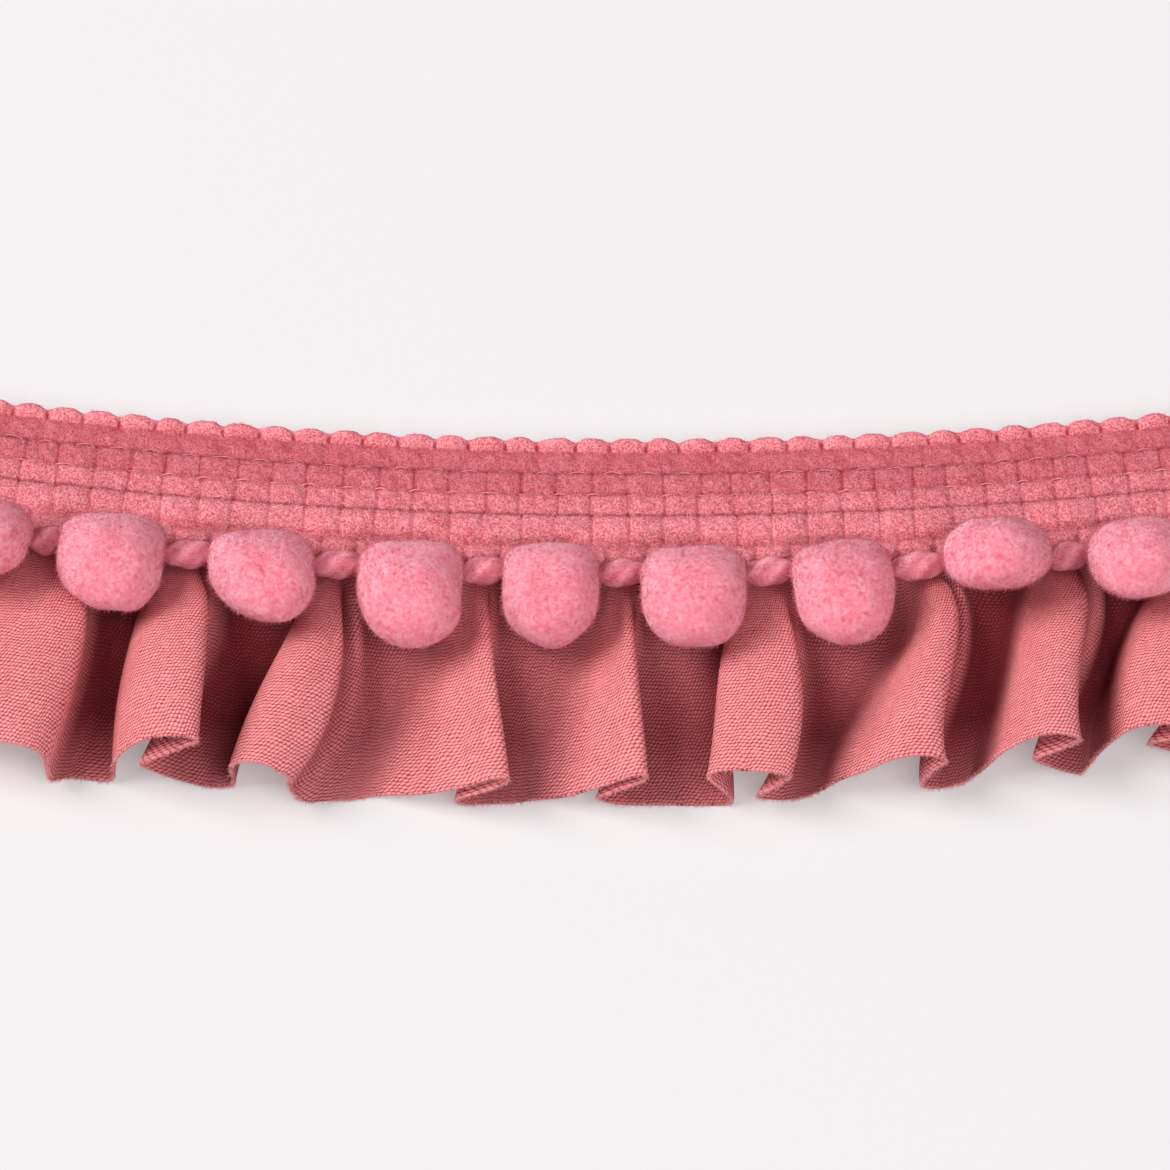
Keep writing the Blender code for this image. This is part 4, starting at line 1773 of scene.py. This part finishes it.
    def make_pile(self, index: int, size: Pompom, name: str) -> None:
        """A pompom's short pile, and the longer pile about its bound top.

        Args:
            index: the pompom's place in the row.
            size: its sizes.
            name: the pompom's name.
        """
        rng = np.random.default_rng(100 + index)
        ways = unit(rng.normal(size=(self.pile_count, 3)))
        x, y, z = (ways * 5 * MM).T
        combed = [smooth_noise(x + z, y - z, 6 * MM, 860 + index + axis) for axis in range(3)]
        side = unit(np.cross(ways, np.stack(combed, axis=-1)))
        roots = self.skin_roots(index, size, ways, side)
        pile = FibreField(self.pile, 200 + index).mesh(f"{name}_short_pile", roots, swing=1.1)
        ways = rng.normal(size=(self.crown_count, 3)) * self.crown_spread + self.crown_middle
        upward = np.broadcast_to(self.crown_lies, ways.shape)
        roots = self.skin_roots(index, size, unit(ways), upward)
        crown = FibreField(self.crown, 500 + index).mesh(f"{name}_crown_pile", roots, swing=0.9)
        both = joined_meshes(f"{name}_pile", [pile, crown])
        add_piece(f"{name}_pile", both, Finish.POMPOM_FIBRE)

    def skin_roots(self, index: int, size: Pompom, ways: np.ndarray, brushed: np.ndarray) -> Roots:
        """Where fibres stand on a pompom's skin.

        Args:
            index: the pompom's place in the row.
            size: its sizes.
            ways: unit directions from its centre to the fibres.
            brushed: the ways that the fibres lie.

        Returns:
            The fibres' roots.
        """
        matrix, seed = self.placement(index, size), 60 + index
        skin = self.skin(ways, size, seed)
        side = unit(np.cross(ways, (0.31, 0.55, 0.77)))
        near = []
        for way in (side, np.cross(ways, side)):
            near.append(self.skin(unit(ways + way * 0.02), size, seed) - skin)
        normals = unit(np.cross(near[0], near[1]))
        normals *= np.sign(np.sum(normals * ways, axis=1, keepdims=True))
        places = self.centre(size) + skin - normals * self.pile_depth
        places = places @ matrix[:3, :3].T + matrix[:3, 3]
        felting = self.felting(skin, seed)
        turned = (normals @ matrix[:3, :3].T, brushed @ matrix[:3, :3].T)
        return Roots(places, *turned, felting, 0.6 + 0.5 * felting)

    def felting(self, skin: np.ndarray, seed: int) -> np.ndarray:
        """How light the pile is over a pompom, with its small pits and clumps.

        Args:
            skin: places on its skin, about its centre.
            seed: picks the pits and clumps.

        Returns:
            One shade for each place, from 0 to 1.
        """
        x, y, z = skin.T
        coarse = smooth_noise(x + z * 0.7, y - z * 0.6, 2.2 * MM, seed + 300)
        fine = smooth_noise(x - z * 0.5, (y + z * 0.8) * 1.6, 0.5 * MM, seed + 600, 14)
        pits = np.clip(fine - self.felt_pit_level + self.felt_pit_clumping * coarse, 0, 1)
        return np.clip(self.felt_tone + self.felt_clumps * coarse - self.felt_pits * pits, 0, 1)

    def make_link(self, index: int) -> None:
        """One link: a plump, slightly twisted bit of bound yarn, with its fuzz.

        Args:
            index: the place in the row of the pompom to its left.
        """
        left, right = self.table[index], self.table[index + 1]
        start = self.lay.pompom_x(index, left.shift) + left.width * self.link_starts
        end = self.lay.pompom_x(index + 1, right.shift) - right.width * self.link_ends
        steps, sides = self.link_steps, self.link_sides
        along = np.linspace(0, 1, steps)
        turns = np.linspace(0, 2 * math.pi, sides + 1)[:, None]
        x = start + (end - start) * along
        first, span = self.link_taper
        swell = np.clip(np.sin((first + span * along) * math.pi), 0, 1) ** self.link_plumpness
        strands = np.cos(self.link_strands * (turns + x / self.link_lay))
        radius = self.link_radius * swell * (1 + self.strand_depth * strands)
        slant = (0.5 - along) * self.link_slant
        down, up = self.link_offset
        y = self.lay.link_y + down - slant + radius * np.cos(turns)
        z = self.lay.link_z + up + radius * np.sin(turns) * self.link_flatness
        places = self.lay.bend(np.stack([np.broadcast_to(x, y.shape), y, z], axis=-1))
        # Painted shade in the grooves between the strands, and toward the thinning ends that go in under
        # the pompoms.
        tone = np.clip(self.strand_middle + self.strand_shade * strands, 0, 1)
        tone = tone * np.clip(swell * 1.5 - 0.2, 0, 1)
        bm = laid_grid(places, tone)
        close_ends(bm)
        name = f"link_{index + 1:02d}"
        add_piece(f"{name}_yarn", finished_mesh(f"{name}_yarn", bm), Finish.LINK, (name,))
        rng = np.random.default_rng(300 + index)
        row = rng.integers(0, sides, self.link_fuzz_count)
        column = rng.integers(1, steps - 1, self.link_fuzz_count)
        brushed = np.zeros((self.link_fuzz_count, 3))
        brushed[:, 0] = 1.0
        brushed[:, 1] = 0.5
        normals = grid_normals(places)[row, column]
        # The link's fuzz takes on its painted shade.
        roots = Roots(places[row, column], normals, brushed, tone[row, column])
        fuzz = FibreField(self.link_fuzz, 400 + index).mesh(f"{name}_fuzz", roots, swing=0.7)
        add_piece(f"{name}_fuzz", fuzz, Finish.POMPOM_FIBRE)

    def build(self) -> None:
        """Make all the pompoms and links."""
        for index, size in enumerate(self.table):
            self.make_pompom(index, size)
        for index in range(len(self.table) - 1):
            self.make_link(index)


# ------------------------------------------------------------------ studio


class Lamp(NamedTuple):
    """A soft square light that faces the trim."""

    name: str
    place: tuple[float, float, float]
    size: float
    power: float
    colour: tuple[float, float, float]


@dataclass
class Studio:
    """The table, the light and the camera.

    The camera's angle and framing are the photo's. table_light is how brightly the table
    shines by itself, so that it is nearly white next to the trim.
    """

    elevation: float = 60.0
    roll: float = 0.9
    frame_pixels: float = 1170.0
    pixels_per_mm: float = 8.84
    origin_pixel: tuple[float, float] = (556.0, 501.0)
    lens: float = 1000.0
    sensor: float = 36.0
    table_size: float = 3.0
    table_colour: Colour = (0.54, 0.53, 0.535, 1)
    table_light: float = 0.485
    surround_colour: Colour = (1.0, 0.985, 0.99, 1)
    surround_light: float = 0.175
    lamps: tuple[Lamp, ...] = (
        Lamp("key", (-3.1, 0.35, 3.0), 2.7, 190.0, (1.0, 0.985, 0.98)),
        Lamp("fill", (1.3, -2.2, 3.0), 3.0, 98.0, (1.0, 0.98, 0.985)),
    )

    def make_table(self) -> None:
        """A plain pale table top."""
        bm = bmesh.new()
        bmesh.ops.create_grid(bm, x_segments=1, y_segments=1, size=self.table_size / 2)
        mesh = finished_mesh("table_top", bm)
        shader = Shader("table_white")
        grain = shader.noise(900.0, 3.0)
        colour = shader.mix(grain, shaded(self.table_colour, 0.985), self.table_colour)
        shader.surface.inputs["Emission Color"].default_value = self.table_colour
        shader.surface.inputs["Emission Strength"].default_value = self.table_light
        mesh.materials.append(shader.finish(colour, 0.9, grain, 0.02 * MM))
        table = bpy.data.objects.new("table_top", mesh)
        bpy.context.scene.collection.objects.link(table)

    @staticmethod
    def make_light(lamp: Lamp) -> None:
        """Set up one of the lights.

        Args:
            lamp: the light's sizes, place and colour.
        """
        data = bpy.data.lights.new(lamp.name, "AREA")
        data.shape = "SQUARE"
        data.size = lamp.size
        data.energy = lamp.power
        data.color = lamp.colour
        made = bpy.data.objects.new(lamp.name, data)
        place = Vector(lamp.place)
        made.location = place
        made.rotation_euler = (-place).to_track_quat("-Z", "Y").to_euler()
        bpy.context.scene.collection.objects.link(made)

    def make_world(self) -> None:
        """A pale even surround."""
        world = bpy.data.worlds.new("surround")
        world.use_nodes = True
        background = world.node_tree.nodes["Background"]
        background.inputs["Color"].default_value = self.surround_colour
        background.inputs["Strength"].default_value = self.surround_light
        bpy.context.scene.world = world

    def make_camera(self) -> None:
        """The camera, at the photo's angle and framing, with a long lens."""
        tilt = math.radians(self.elevation)
        roll = math.radians(self.roll)
        forward = Vector((0, math.cos(tilt), -math.sin(tilt)))
        level = Vector((1, 0, 0))
        upright = Vector((0, math.sin(tilt), math.cos(tilt)))
        right = level * math.cos(roll) + upright * math.sin(roll)
        up = upright * math.cos(roll) - level * math.sin(roll)
        scale = self.pixels_per_mm / MM
        middle = self.frame_pixels / 2
        aim = right * (middle - self.origin_pixel[0]) / scale
        aim += up * (self.origin_pixel[1] - middle) / scale
        distance = self.frame_pixels / scale * self.lens / self.sensor
        data = bpy.data.cameras.new("camera")
        data.lens = self.lens
        data.sensor_width = self.sensor
        data.clip_start = 0.01
        camera = bpy.data.objects.new("camera", data)
        turn = Matrix((right, up, -forward)).transposed().to_4x4()
        camera.matrix_world = Matrix.Translation(aim - forward * distance) @ turn
        bpy.context.scene.collection.objects.link(camera)
        bpy.context.scene.camera = camera

    def build(self) -> None:
        """Set up the studio."""
        self.make_table()
        self.make_world()
        for lamp in self.lamps:
            self.make_light(lamp)
        self.make_camera()
        bpy.context.scene.view_settings.view_transform = "Standard"


def main() -> None:
    """Build the trim, then the studio, and note the sizes."""
    logging.basicConfig(level=logging.INFO, format="%(message)s")
    lay = Lay()
    Heading(lay).build()
    Ruffle(lay).build()
    PompomRow(lay).build()
    Studio().build()


if __name__ == "__main__":
    main()
